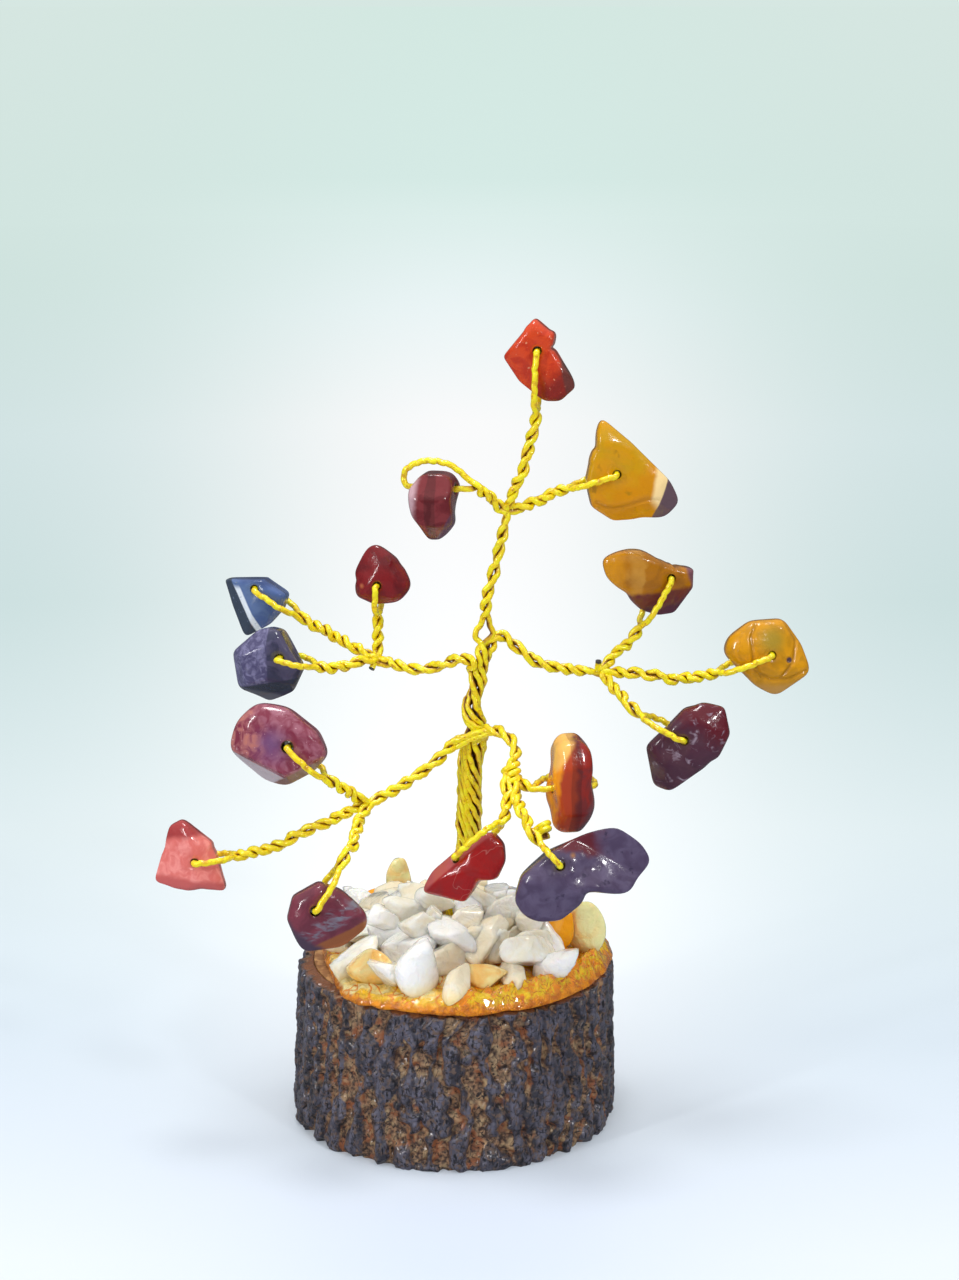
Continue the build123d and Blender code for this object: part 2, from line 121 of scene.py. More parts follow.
# Wire loop through a chip
face_gap = 0.00025
hole_bend = 0.00035
neck_run = 0.0013
neck_room = 0.0010
crossing_room = 0.00065
neck_spread_degrees = 12

# Finishes
pattern_size = 0.001

# Chips
hole_radius = 0.0005
hole_lip = 0.00014
outline_wear_degrees = 3.4
facet_softness = 0.035
crease_width_share = 0.018
crease_depth_share = 0.13
wall_shade_share = 0.35
section_height_share = 0.14
section_band_share = 0.02
outline_stations = 720
chip_columns = 180
chip_rows = 60

# Camera and stage
camera_place = (0.003, -0.323, 0.145)
camera_pitch_degrees = 14.1
camera_focal_pixels = 2600
picture_height_pixels = 1280
camera_near = 0.01
film_millimetres = 36
floor_size = 40.0
floor_reach = 0.323
floor_glow_height = 0.145
floor_nearest = 0.2
glow_spread_share = 0.105
floor_own_light_share = 0.2
floor_far_start = 0.5
floor_far_end = 1.4
floor_lit_slopes = (0.08, 0.40)
mirrored_floor_share = 0.2
sky_strengths = (0.45, 1.1)
mirrored_sky_strengths = (0.04, 0.6)
sky_bright_height_share = 0.9
lamp_reach = 0.4
# Lamps: place, width and height in shares of their reach, and power in watts
lamp_shares = {
    "strip_left": ((-1.05, -0.85, 0.65), 0.075, 0.55, 0.8),
    "square_right": ((0.85, -1.05, 1.05), 0.15, 0.15, 0.65),
    "soft_above": ((-0.075, 0.1, 1.55), 0.4, 0.4, 1.5),
}

# Places in the tree, in shares of its spread and of its height over the slice
trunk_line_shares = (
    (0.0, -0.12), (0.0, 0.02), (0.004, 0.083), (0.018, 0.173), (0.021, 0.31),
    (0.030, 0.363), (0.024, 0.401), (0.034, 0.461), (0.042, 0.502), (0.046, 0.55),
)
branch_routes_shares = {
    "top": ((0.047, -0.006, 0.575), (0.056, 0.0, 0.604), (0.068, 0.0, 0.658), (0.079, 0.0, 0.708)),
    "left": ((0.026, -0.016, 0.479), (0.006, -0.010, 0.484), (-0.022, 0.004, 0.470), (-0.064, 0.020, 0.459),
             (-0.124, 0.037, 0.470)),
    "right": ((0.070, 0.020, 0.512), (0.092, 0.020, 0.497), (0.130, 0.018, 0.470), (0.180, 0.022, 0.458),
              (0.227, 0.024, 0.454)),
    "low_left": ((0.001, -0.022, 0.357), (-0.018, -0.036, 0.341), (-0.045, -0.054, 0.322),
                 (-0.090, -0.078, 0.298), (-0.136, -0.098, 0.280)),
    "low_right": ((0.048, -0.030, 0.376), (0.070, -0.050, 0.378), (0.090, -0.078, 0.368),
                  (0.092, -0.104, 0.352), (0.079, -0.122, 0.337)),
}
low_slots_degrees = {"top": 2, "left": 146, "right": 74, "low_left": 218, "low_right": 290}
high_slots_degrees = {"top": -75, "left": 165, "right": 45}
low_exit_share = 0.352
exit_shares = {
    "top": 0.546, "left": 0.462, "right": 0.495, "low_left": low_exit_share, "low_right": low_exit_share,
}
settling_share = 0.06
closing_share = 0.008
# Bows of the trunk's wires: their middle and half length up the tree, and how many wires wide to the right
trunk_bow_shares = {
    "right": (0.430, 0.055, 0.875), "left": (0.410, 0.05, -0.25), "low_left": (0.30, 0.06, -0.25),
    "top": (0.27, 0.07, 0.25), "low_right": (0.22, 0.07, 0.5),
}
clipped_end_shares = {
    "branch_right": ((0.222, 0.018, 0.458), (0.1, -0.3, 0.85)),
    "branch_left": ((-0.130, 0.032, 0.466), (-0.25, -0.3, -0.75)),
}
coil_shares = (((0.083, -0.122, 0.348), (0.094, -0.138, 0.312), 4),
               ((0.129, -0.190, 0.275), (0.135, -0.199, 0.262), 2))
crossing_shares = ((-0.006, -0.026, 0.349), (0.026, -0.027, 0.371), (0.062, -0.042, 0.378))
crossing_rise_shares = (-0.0055, 0.0040)


@dataclass
class Stone:
    """A gem chip, its places in shares of its length from the hole, as seen along the hole. A facet is
    (degrees towards, start share, degrees of tilt), a dent (degrees, share of the reach, degrees wide), a
    crease a line of places and a pit (x, y, reach)."""

    name: str
    branch: str
    neck_angle: float
    fullness: float
    facets: tuple = ()
    back_facets: tuple = ()
    dents: tuple = ()
    creases: tuple = ()
    pits: tuple = ()
    beside: bool = False
    lumpiness: float = 0.06
    lump_size_share: float = 0.6
    wear: float = 1.0
    thickness_gain: float = 1.0
    hole_gain: float = 1.0


stones = (
    Stone("red_top", "top", -92, 4.5, ((-135, 0.16, 22), (58, 0.22, 26), (-48, 0.42, 36)),
          ((150, 0.1, 18), (-60, 0.2, 22)), ((10, -0.13, 9), (-40, 0.04, 10), (118, 0.03, 8), (52, 0.05, 8))),
    Stone("mustard_fin", "top", 197, 5.0, ((80, 0.30, 18), (-88, 0.29, 34), (-12, 0.46, 24)),
          ((120, 0.1, 15), (-70, 0.2, 20)), ((126, -0.1, 8), (111, 0.02, 7), (150, 0.02, 9), (-58, -0.03, 9)),
          (((-0.20, -0.27), (-0.10, -0.317), (-0.01, -0.325), (0.10, -0.30), (0.18, -0.276), (0.285, -0.244),
            (0.41, -0.25)),)),
    Stone("wine_hanging", "top", 90, 3.6, ((-90, 0.46, 30), (90, 0.04, 24)),
          ((90, 0.02, 36), (-90, 0.36, 30)), ((-90, -0.08, 26), (180, -0.08, 36)), beside=True,
          lumpiness=0.08, thickness_gain=1.2, hole_gain=1.15),
    Stone("wine_heart", "left", -94, 2.7, ((150, 0.14, 26), (20, 0.28, 28), (78, 0.36, 24), (-80, 0.16, 20)),
          ((-120, 0.1, 18),), ((172, -0.06, 10), (-150, 0.03, 12), (100, 0.03, 14), (45, -0.04, 10)),
          lumpiness=0.10, wear=3),
    Stone("blue_blade", "left", -32, 5.0, ((205, 0.22, 30), (-60, 0.34, 28), (75, 0.03, 16)),
          ((180, 0.1, 20),)),
    Stone("violet_block", "left", -12, 4.6, ((4, -0.17, 26), (-78, 0.26, 50), (196, 0.52, 44),
          (110, 0.2, 36)), ((180, 0.2, 30), (-60, 0.2, 30)), ((-90, 0.02, 20),)),
    Stone("amber_boot", "right", 240, 3.6, ((-78, 0.06, 20), (176, 0.44, 18), (70, 0.12, 28)),
          ((-150, 0.2, 18),), ((62, -0.16, 10), (22, 0.06, 10), (122, -0.06, 8), (145, 0.03, 6),
           (-160, -0.05, 8)), lumpiness=0.10),
    Stone("honey", "right", 200, 3.2, ((-92, 0.24, 28), (40, 0.28, 24)), ((100, 0.1, 20),), (),
          (((-0.16, 0.38), (-0.24, 0.20), (-0.22, -0.06), (-0.12, -0.24)),
           ((-0.20, -0.16), (-0.02, -0.27), (0.20, -0.27), (0.40, -0.18)),
           ((0.15, 0.38), (0.28, 0.16), (0.24, -0.08), (0.10, -0.26))),
          ((0.20, -0.06, 0.035),), lumpiness=0.12, wear=2),
    Stone("plum_disc", "right", 155, 3.0, ((-140, 0.26, 22), (50, 0.30, 24), (-50, 0.12, 14)),
          ((60, 0.1, 18),), ((-40, -0.04, 12), (75, -0.03, 10)), lumpiness=0.16, lump_size_share=0.32),
    Stone("rose", "low_left", -42, 3.6, ((-115, 0.26, 60), (-62, 0.23, 54), (178, 0.42, 28), (70, 0.18, 24)),
          ((150, 0.1, 22), (-60, 0.1, 26)), ((120, 0.02, 20),), wear=2, hole_gain=1.5),
    Stone("coral", "low_left", 8, 3.4, ((187, 0.02, 20), (12, 0.0, 26), (-90, 0.28, 24)), ((100, 0.1, 20),),
          ((-80, -0.05, 14), (40, -0.05, 12), (-48, 0.04, 8), (160, -0.03, 10), (-128, 0.03, 10))),
    Stone("plum_pear", "low_left", 57, 3.0, ((-72, 0.25, 38), (160, 0.12, 26), (40, 0.30, 26)),
          ((-120, 0.1, 20),), ((-110, -0.03, 10),), lumpiness=0.12, wear=1.6, hole_gain=1.2),
    Stone("crimson_wedge", "low_right", 46, 4.6, ((135, -0.07, 38), (-72, 0.22, 28), (10, 0.26, 24)),
          ((-40, 0.1, 26), (160, 0.1, 20)), ((-38, -0.08, 10), (62, 0.03, 8))),
    Stone("grape_long", "low_right", 131, 3.6,
          ((58, 0.02, 34), (-84, 0.22, 24), (-18, 0.46, 30), (-150, 0.20, 20)),
          ((80, 0.1, 20), (-80, 0.1, 22)), ((-48, -0.12, 10), (-22, 0.05, 8), (-118, -0.05, 8),
           (40, 0.03, 8)), lumpiness=0.26, lump_size_share=0.24, hole_gain=1.2),
    Stone("sunset_bar", "low_right", 180, 3.8, ((90, 0.46, 26), (-90, 0.38, 22)),
          ((100, 0.42, 24), (-70, 0.34, 24)), ((90, -0.04, 14), (-60, 0.03, 14), (0, -0.10, 40)),
          beside=True, lumpiness=0.12, lump_size_share=0.42, thickness_gain=1.08),
)


def unit(vectors):
    return vectors / np.linalg.norm(vectors, axis=-1, keepdims=True)


def stacked(*values):
    """Arrays and numbers side by side, as the parts of one array of vectors."""
    return np.stack(np.broadcast_arrays(*values), axis=-1)


def around(radius, angle, height):
    """Points at a radius, angle and height about the upright axis."""
    return stacked(radius * np.cos(angle), radius * np.sin(angle), height)


def wrapped(angle):
    """The same angle between half a turn back and half a turn on."""
    return (angle + pi) % (2 * pi) - pi


def bell(value, width):
    """1 at zero, falling off to either side: exp(-(value / width)^2)."""
    return np.exp(-((value / width) ** 2))


def eased(value, low=0.0, high=1.0):
    """Runs from 0 at low to 1 at high, level at both: t t (3 - 2 t)."""
    t = np.clip((value - low) / (high - low), 0, 1)
    return t * t * (3 - 2 * t)


def ring_noise(turn, up, cells, seed):
    """Smooth noise from 0 to 1, closed over its cells per turn: random values on a grid, blended by eased."""
    rows = 64
    values = np.random.default_rng(seed).random((cells, rows))
    column = np.floor(turn * cells).astype(int)
    row = np.floor(up).astype(int)
    right = eased(turn * cells - column)
    above = eased(up - row)
    low, high = (values[column % cells, level % rows] * (1 - right)
                 + values[(column + 1) % cells, level % rows] * right for level in (row, row + 1))
    return low * (1 - above) + high * above


def lumps(points, size, seed):
    """Gentle unevenness from -1 to 1: the mean of seven sine waves in random directions."""
    chance = np.random.default_rng(seed)
    waves = unit(chance.normal(size=(7, 3))) * 2 * pi / size
    return np.sin(points @ waves.T + chance.uniform(0, 2 * pi, 7)).mean(axis=-1) * 2


# Meshes

def grid_faces(rows, columns, closed_rows):
    """Quads between neighbours of a grid whose columns close on themselves, and whose rows may."""
    row = np.arange(rows if closed_rows else rows - 1)[:, None]
    column = np.arange(columns)[None, :]
    next_row = (row + 1) % rows * columns
    next_column = (column + 1) % columns
    corners = (row * columns + column, row * columns + next_column, next_row + next_column, next_row + column)
    return stacked(*corners).reshape(-1, 4)


def outward(points, quads):
    """Turns the quads round where the solid they close has a negative volume."""
    a, b, c, d = (points[quads[:, k]] for k in range(4))
    volume = (np.cross(b - a, c - a) * a + np.cross(c - a, d - a) * a).sum()
    return quads if volume > 0 else quads[:, ::-1]


def placed(name, data):
    """A new object in the scene that holds the data."""
    item = bpy.data.objects.new(name, data)
    bpy.context.scene.collection.objects.link(item)
    return item


class Piece:
    """Surfaces gathered into one mesh, with one value or vector per point for the finish to read."""

    def __init__(self):
        self.points = []
        self.faces = []
        self.marks = []
        self.count = 0

    def add(self, grid, marks, closed_rows=False):
        """Adds a grid of points (rows, columns, 3); its open ends are closed by a flat face each."""
        rows, columns = grid.shape[:2]
        points = grid.reshape(-1, 3)
        quads = outward(points, grid_faces(rows, columns, closed_rows))
        faces = (quads + self.count).tolist()
        if not closed_rows:
            ends = [list(range(columns)), list(range((rows - 1) * columns, rows * columns))]
            if (quads[0] == grid_faces(rows, columns, False)[0]).all():
                ends[0].reverse()
            else:
                ends[1].reverse()
            faces += [[corner + self.count for corner in end] for end in ends]
        self.points.append(points)
        self.faces += faces
        self.marks.append(np.broadcast_to(marks, grid.shape).reshape(-1, 3))
        self.count += len(points)
        return self

    def make(self, name, finish, body, slot, *nodes):
        mesh = bpy.data.meshes.new(name)
        mesh.from_pydata(np.concatenate(self.points).tolist(), [], self.faces)
        mesh.polygons.foreach_set("use_smooth", np.ones(len(mesh.polygons), bool))
        marks = mesh.attributes.new("marks", "FLOAT_VECTOR", "POINT")
        marks.data.foreach_set("vector", np.concatenate(self.marks).astype(np.float32).ravel())
        mesh.materials.append(finish)
        piece = placed(name, mesh)
        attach(piece, body)
        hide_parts(*nodes)
        return piece


# Finishes

def seen(red, green, blue):
    """A colour given as it is seen, 0 to 255 each, as the linear values that a shader takes."""
    share = np.array((red, green, blue)) / 255
    linear = np.where(share > 0.04045, ((share + 0.055) / 1.055) ** 2.4, share / 12.92)
    return (*linear.tolist(), 1.0)


def towards(degrees):
    return (cos(radians(degrees)), sin(radians(degrees)), 0.0)


class Nodes:
    """Short calls for the shader nodes of a material or of the world."""

    def __init__(self, tree):
        self.tree = tree

    def add(self, kind, inputs=None, **settings):
        node = self.tree.nodes.new(kind)
        for key, value in settings.items():
            setattr(node, key, value)
        for key, value in (inputs or {}).items():
            if isinstance(value, bpy.types.NodeSocket):
                self.link(value, node, key)
            else:
                node.inputs[key].default_value = value
        return node

    def link(self, socket, node, key):
        self.tree.links.new(socket, node.inputs[key])

    def math(self, operation, first, second=0.0):
        return self.add("ShaderNodeMath", {0: first, 1: second}, operation=operation).outputs[0]

    def both(self, first, second):
        return self.math("MULTIPLY", first, second)

    def vector(self, operation, first, second=(0, 0, 0)):
        outputs = self.add("ShaderNodeVectorMath", {0: first, 1: second}, operation=operation).outputs
        return outputs[0] if operation == "MULTIPLY" else outputs["Value"]

    def fade(self, value, first, last, low=0.0, high=1.0, way="LINEAR"):
        """From first to last while the value goes from low to high."""
        ends = {"Value": value, "From Min": low, "From Max": high, "To Min": first, "To Max": last}
        return self.add("ShaderNodeMapRange", ends, interpolation_type=way).outputs[0]

    def steps(self, value, low, high):
        return self.fade(value, 0.0, 1.0, low, high, "SMOOTHSTEP")

    def mix(self, share, first, second):
        return self.add("ShaderNodeMix", {0: share, 6: first, 7: second}, data_type="RGBA").outputs[2]

    def ramp(self, value, *stops):
        node = self.add("ShaderNodeValToRGB", {0: value})
        stretch = node.color_ramp.elements
        for place, *_ in stops[1:-1]:
            stretch.new(place)
        for element, (place, *colour) in zip(stretch, stops):
            element.position = place
            element.color = seen(*colour)
        return node.outputs[0]


class Finish(Nodes):
    """A material whose tone is laid on coat by coat. Patterns repeat over shares of the pattern size."""

    def __init__(self, name, **sockets):
        self.material = bpy.data.materials.new(name)
        self.material.use_nodes = True
        super().__init__(self.material.node_tree)
        self.shader = self.tree.nodes["Principled BSDF"]
        self.where = self.add("ShaderNodeTexCoord").outputs["Object"]
        self.marks = self.add("ShaderNodeAttribute", attribute_name="marks").outputs["Vector"]
        for socket, value in sockets.items():
            self.shader.inputs[socket.replace("_", " ").title().replace("Ior", "IOR")].default_value = value

    def noise(self, size_share, detail=3.0, seed=0.0, stretch=(1, 1, 1), curl=0.0):
        moved = {"Vector": self.where, "Location": (seed, seed, seed), "Scale": stretch}
        texture = {"Vector": self.add("ShaderNodeMapping", moved).outputs[0], "Detail": detail,
                   "Scale": 1 / (size_share * pattern_size), "Distortion": curl}
        return self.add("ShaderNodeTexNoise", texture).outputs[0]

    def patches(self, size_share, low, high, **texture):
        """1 where a noise is over high, 0 where it is under low."""
        return self.steps(self.noise(size_share, **texture), low, high)

    def off_middle(self, size_share, **texture):
        """How far a noise is from its middle value."""
        return self.math("ABSOLUTE", self.math("SUBTRACT", self.noise(size_share, **texture), 0.5))

    def vein(self, size_share, width, seed=0.0, curl=1.0):
        """1 along thin wandering lines, where a noise passes its middle value."""
        return self.steps(self.off_middle(size_share, detail=2.0, seed=seed, curl=curl), width, 0.0)

    def mark(self, axis):
        return self.add("ShaderNodeSeparateXYZ", {0: self.marks}).outputs[axis]

    def beyond(self, direction, start, softness, uneven=0.0):
        """1 past a line across the chip, 0 before it, the line wavering by a share of the chip's length. The
        direction is in degrees round the hole, or a vector."""
        if not isinstance(direction, tuple):
            direction = towards(direction)
        waver = self.both(self.math("SUBTRACT", self.noise(2), 0.5), 2 * uneven)
        reach = self.math("ADD", self.vector("DOT_PRODUCT", self.marks, direction), waver)
        return self.steps(reach, start - softness, start + softness)

    def near(self, point, reach, softness):
        """1 round a point of the chip's front, 0 farther off than reach, in shares of its length."""
        flat = self.vector("MULTIPLY", self.marks, (1, 1, 0))
        far = self.vector("DISTANCE", flat, (*point, 0))
        in_front = self.steps(self.mark(2), 0.0, 0.1)
        return self.both(self.steps(far, reach + softness, reach - softness), in_front)

    def clouds(self, size_share, first, second, low=0.40, high=0.62, **texture):
        """Starts the tone: clouds of one colour in another."""
        self.tone = self.mix(self.patches(size_share, low, high, **texture), seen(*first), seen(*second))

    def cover(self, share, *colour):
        """Lays a colour, or a tone made before, over the tone."""
        self.tone = self.mix(share, self.tone, seen(*colour) if len(colour) == 3 else colour[0])

    def roughness(self, share, low, high):
        self.link(self.fade(share, low, high), self.shader, "Roughness")

    def finished(self, height, depth_share, strength=1.0):
        """The material, its tone as its colour and its surface bumped by the height."""
        bump = {"Height": height, "Distance": depth_share * pattern_size, "Strength": strength}
        self.link(self.add("ShaderNodeBump", bump).outputs[0], self.shader, "Normal")
        self.link(self.tone, self.shader, "Base Color")
        return self.material


def paint_red_top(s):
    s.clouds(2.2, (210, 68, 28), (190, 50, 22), 0.42, curl=1.0)
    s.cover(s.beyond(-50, 0.34, 0.14, 0.1), 142, 34, 22)
    s.cover(s.beyond(-62, 0.62, 0.04, 0.05), 104, 30, 28)
    s.cover(s.beyond(10, 0.25, 0.02, 0.02), 110, 52, 44)
    s.cover(s.patches(0.5, 0.66, 0.74, seed=4.0), 222, 140, 104)


def paint_mustard_fin(s):
    s.clouds(4, (200, 148, 2), (214, 148, 0), curl=0.6)
    s.cover(s.beyond(-60, 0.10, 0.12, 0.2), 206, 134, 0)
    s.cover(s.patches(1.2, 0.6, 0.75, seed=2.0), 176, 122, 4)
    s.cover(s.both(s.beyond(-14, 0.37, 0.025, 0.03), s.beyond(40, 0.09, 0.05)), 248, 214, 150)
    s.cover(s.beyond(-22, 0.49, 0.008, 0.010), 100, 76, 84)


def paint_wine_hanging(s):
    s.clouds(2.2, (104, 30, 36), (124, 46, 50), 0.42, 0.6, curl=1.4)
    # Painted highlight: one flat face is painted pale pink.
    s.cover(s.beyond((0, 0.2, -1), 0.62, 0.2, 0.2), 196, 158, 164)
    s.cover(s.beyond((0, -1, 0.5), 0.74, 0.03, 0.05), 94, 56, 74)


def paint_wine_heart(s):
    s.clouds(3, (128, 28, 32), (106, 24, 30), curl=1.0)
    s.cover(s.near((-0.26, -0.02), 0.03, 0.03), 176, 96, 62)


def paint_blue_blade(s):
    s.clouds(3.2, (78, 100, 150), (94, 116, 158), curl=1.0)
    # Painted highlight: a pale streak along the bevel.
    painted_streak_highlight = s.both(s.beyond(205, 0.20, 0.012, 0.01), s.beyond(20, -0.44, 0.02, 0.02))
    s.cover(s.both(painted_streak_highlight, s.beyond(-90, -0.02, 0.05)), 226, 232, 238)
    s.cover(s.beyond(205, 0.29, 0.012, 0.01), 58, 68, 84)
    s.cover(s.beyond(80, 0.08, 0.05, 0.05), 58, 76, 122)
    s.cover(s.patches(0.7, 0.64, 0.76, seed=6.0), 120, 136, 166)


def paint_violet_block(s):
    s.clouds(1.1, (76, 72, 106), (122, 118, 152), 0.35, 0.7, detail=6.0, seed=1.0, curl=1.6)
    swirl = s.tone
    s.clouds(3, (58, 58, 82), (80, 76, 104), high=0.6, curl=1.5)
    s.cover(s.both(s.beyond(184, 0.16, 0.015), s.beyond(102, -0.30, 0.02)), swirl)
    # Painted shade: the bottom facet is painted dark.
    s.cover(s.beyond(-78, 0.31, 0.015), 46, 52, 70)
    s.cover(s.beyond(-100, 0.52, 0.03), 84, 86, 96)


def paint_amber_boot(s):
    s.clouds(3, (176, 110, 6), (158, 98, 8), curl=0.8)
    s.cover(s.beyond(172, 0.52, 0.08, 0.1), 208, 138, 10)
    band = s.both(s.beyond(180, 0.30, 0.03, 0.12), s.beyond(0, -0.46, 0.05, 0.12))
    s.cover(s.both(band, s.noise(1.5)), 206, 150, 60)
    s.cover(s.beyond(-84, 0.13, 0.035, 0.05), 104, 44, 44)
    s.cover(s.beyond(-80, 0.27, 0.05, 0.1), 84, 40, 58)
    s.cover(s.beyond(20, 0.19, 0.025, 0.03), 118, 72, 80)


def paint_honey(s):
    s.clouds(2.4, (212, 144, 0), (190, 130, 2), curl=1.2)
    s.cover(s.near((0.0, 0.17), 0.13, 0.09), 172, 138, 40)
    s.cover(s.beyond(-92, 0.35, 0.05, 0.05), 190, 138, 62)
    # Painted shade: the pit is painted dark.
    s.cover(s.near((0.20, -0.06), 0.030, 0.010), 92, 68, 76)


def paint_plum_disc(s):
    s.clouds(3.5, (76, 42, 58), (84, 50, 62), curl=1.0)
    s.cover(s.beyond(52, 0.16, 0.12, 0.2), 94, 24, 36)
    wisps = s.patches(1.2, 0.54, 0.72, detail=6.0, seed=5.0, curl=1.0)
    s.cover(s.both(wisps, s.patches(4, 0.34, 0.5, seed=2.0)), 150, 130, 144)


def paint_rose(s):
    mottled = s.patches(1.5, 0.34, 0.70, detail=6.0, curl=1.0)
    s.tone = s.mix(mottled, seen(126, 46, 66), seen(160, 98, 114))
    s.cover(s.both(s.near((-0.18, 0.0), 0.16, 0.12), s.noise(3, seed=3.0)), 112, 84, 130)
    s.cover(s.both(s.beyond(186, 0.30, 0.12, 0.2), mottled), 184, 112, 100)
    # Painted reflection of the floor: the two lower facets are painted pale.
    s.cover(s.beyond(-115, 0.31, 0.012, 0.01), 180, 168, 172)
    s.cover(s.beyond(-62, 0.26, 0.012, 0.01), 126, 96, 88)
    s.cover(s.patches(0.4, 0.66, 0.74, seed=7.0), 206, 160, 168)


def paint_coral(s):
    s.clouds(1.4, (222, 112, 104), (240, 146, 138), 0.36, 0.68, detail=6.0, curl=0.8)
    s.cover(s.beyond(100, 0.36, 0.05, 0.05), 164, 60, 60)
    s.cover(s.beyond(-95, 0.26, 0.04, 0.03), 196, 92, 88)


def paint_plum_pear(s):
    s.clouds(3, (120, 54, 68), (102, 46, 60), curl=1.2)
    band = s.both(s.beyond(-58, 0.14, 0.05, 0.12), s.beyond(122, -0.33, 0.05, 0.12))
    veiled = s.patches(1, 0.40, 0.66, detail=6.0, stretch=(0.6, 1, 1.6), curl=0.6)
    s.cover(s.both(band, veiled), 118, 116, 130)
    s.cover(s.beyond(-66, 0.42, 0.02, 0.03), 146, 84, 48)
    s.cover(s.beyond(-130, 0.34, 0.05, 0.06), 74, 56, 74)


def paint_crimson_wedge(s):
    s.clouds(4, (156, 20, 20), (142, 30, 30), curl=1.0)
    # Painted reflection: the broad facet towards 135 degrees is painted pale pink.
    s.cover(s.beyond(135, -0.055, 0.02), 170, 76, 76)
    s.cover(s.both(s.vein(7, 0.01, 2.0), s.beyond(-45, 0.1, 0.05)), 168, 84, 78)


def paint_grape_long(s):
    s.clouds(1.8, (76, 62, 88), (94, 82, 108), 0.34, 0.70, detail=6.0, curl=0.8)
    s.cover(s.both(s.beyond(78, 0.10, 0.03, 0.06), s.beyond(180, -0.30, 0.08, 0.1)), 96, 34, 44)
    s.cover(s.patches(1, 0.60, 0.72, detail=5.0, seed=4.0), 60, 50, 74)
    # Painted glint: a small amber spot near the hole.
    s.cover(s.near((0.10, 0.06), 0.012, 0.02), 166, 110, 60)


def paint_sunset_bar(s):
    gold = s.mix(s.noise(2), seen(240, 158, 30), seen(240, 124, 10))
    s.clouds(3, (150, 36, 26), (118, 40, 40), curl=1.2)
    s.cover(s.beyond((0, -1, -0.4), 0.42, 0.12, 0.2), 98, 66, 72)
    s.cover(s.beyond((0, 0, 1), 0.02, 0.2, 0.3), 178, 62, 28)
    s.cover(s.beyond((0, 0.30, 1), 0.74, 0.10, 0.16), gold)
    s.cover(s.beyond((0, 1, 0.3), 0.52, 0.05, 0.08), 246, 184, 92)


stone_paints = {paint.__name__.removeprefix("paint_"): paint for paint in (
    paint_red_top, paint_mustard_fin, paint_wine_hanging, paint_wine_heart, paint_blue_blade,
    paint_violet_block, paint_amber_boot, paint_honey, paint_plum_disc, paint_rose, paint_coral,
    paint_plum_pear, paint_crimson_wedge, paint_grape_long, paint_sunset_bar)}


def stone_finish(name):
    """Jasper in the stone's own pattern, faintly pitted, with painted shade in the bore, the creases and
    round the edge.
    """
    stone = Finish(name + "_jasper", roughness=0.22, coat_weight=0.65, coat_roughness=0.045,
                   specular_ior_level=0.35)
    stone_paints[name](stone)
    # Painted shade, read from the chip's dark mark.
    stone.cover(stone.add("ShaderNodeAttribute", attribute_name="dark").outputs["Fac"], 34, 22, 20)
    return stone.finished(stone.noise(1.3, 4.0), 0.18, 0.8)


def wire_finish():
    """Bright lemon-gold wire, with painted shade, olive brown, where two wires press together."""
    wire = Finish("lemon_gold_wire", metallic=0.1, specular_ior_level=0.7, coat_weight=0.8,
                  coat_roughness=0.07)
    wire.clouds(0.9, (255, 240, 6), (255, 220, 0), high=0.6)
    wire.cover(wire.patches(0.5, 0.58, 0.70, detail=4.0, seed=3.0), 216, 160, 0)
    # Painted shade: darker gold, then olive brown, on the sides of a wire that face the middle of its bundle.
    wire.cover(wire.steps(wire.mark(0), 0.00, 0.45), 222, 168, 0)
    wire.cover(wire.steps(wire.mark(0), 0.35, 0.90), 116, 66, 0)
    wire.cover(wire.mark(1), 54, 48, 44)
    wire.roughness(wire.noise(0.7, seed=5.0), 0.2, 0.4)
    return wire.finished(wire.noise(0.45), 0.1, 0.9)


def bark_finish():
    """Varnished slate ridges over crumbly brown furrows with rusty spots, and painted shade in the deepest
    crumbs.
    """
    bark = Finish("varnished_bark", coat_weight=0.7, coat_roughness=0.14, specular_ior_level=0.45)
    upright = (1, 1, 0.3)
    bark.clouds(1.2, (56, 54, 64), (100, 97, 112), 0.38, detail=4.0, stretch=upright)
    bark.cover(bark.patches(0.6, 0.48, 0.64, detail=6.0, seed=6.0), 104, 84, 74)
    bark.cover(bark.patches(0.4, 0.56, 0.66, detail=5.0, seed=8.0, stretch=upright), 26, 26, 34)
    ridge = bark.tone
    bark.clouds(0.5, (74, 52, 42), (152, 114, 82), 0.38, detail=4.0)
    bark.cover(bark.patches(1.9, 0.48, 0.64, seed=3.0), 150, 86, 48)
    bark.cover(bark.both(bark.steps(bark.mark(2), 0.45, 0.85), bark.noise(0.9, seed=9.0)), 196, 166, 122)
    patchy = bark.math("SUBTRACT", bark.noise(0.8, 5.0, 2.0, stretch=(1, 1, 0.6)), 0.5)
    bark.cover(bark.steps(bark.math("ADD", bark.mark(0), patchy), 0.26, 0.50), ridge)
    bark.cover(bark.vein(1.1, 0.034, 12.0, curl=0.8), 28, 24, 28)
    # Painted shade: near black where the crumbs are deepest.
    bark.cover(bark.steps(bark.mark(2), 0.30, 0.05), 26, 20, 20)
    bark.cover(bark.mark(1), 124, 70, 30)
    bark.roughness(bark.mark(0), 0.55, 0.30)
    return bark.finished(bark.noise(0.5, 6.0), 0.32)


def wood_finish():
    wood = Finish("sawn_log_wood", roughness=0.6, coat_weight=0.2)
    rings = wood.noise(1.1, stretch=(1, 1, 0.08), curl=0.4)
    wood.tone = wood.mix(wood.steps(rings, 0.42, 0.6), seen(196, 146, 88), seen(150, 100, 54))
    return wood.finished(rings, 0.05, 0.5)


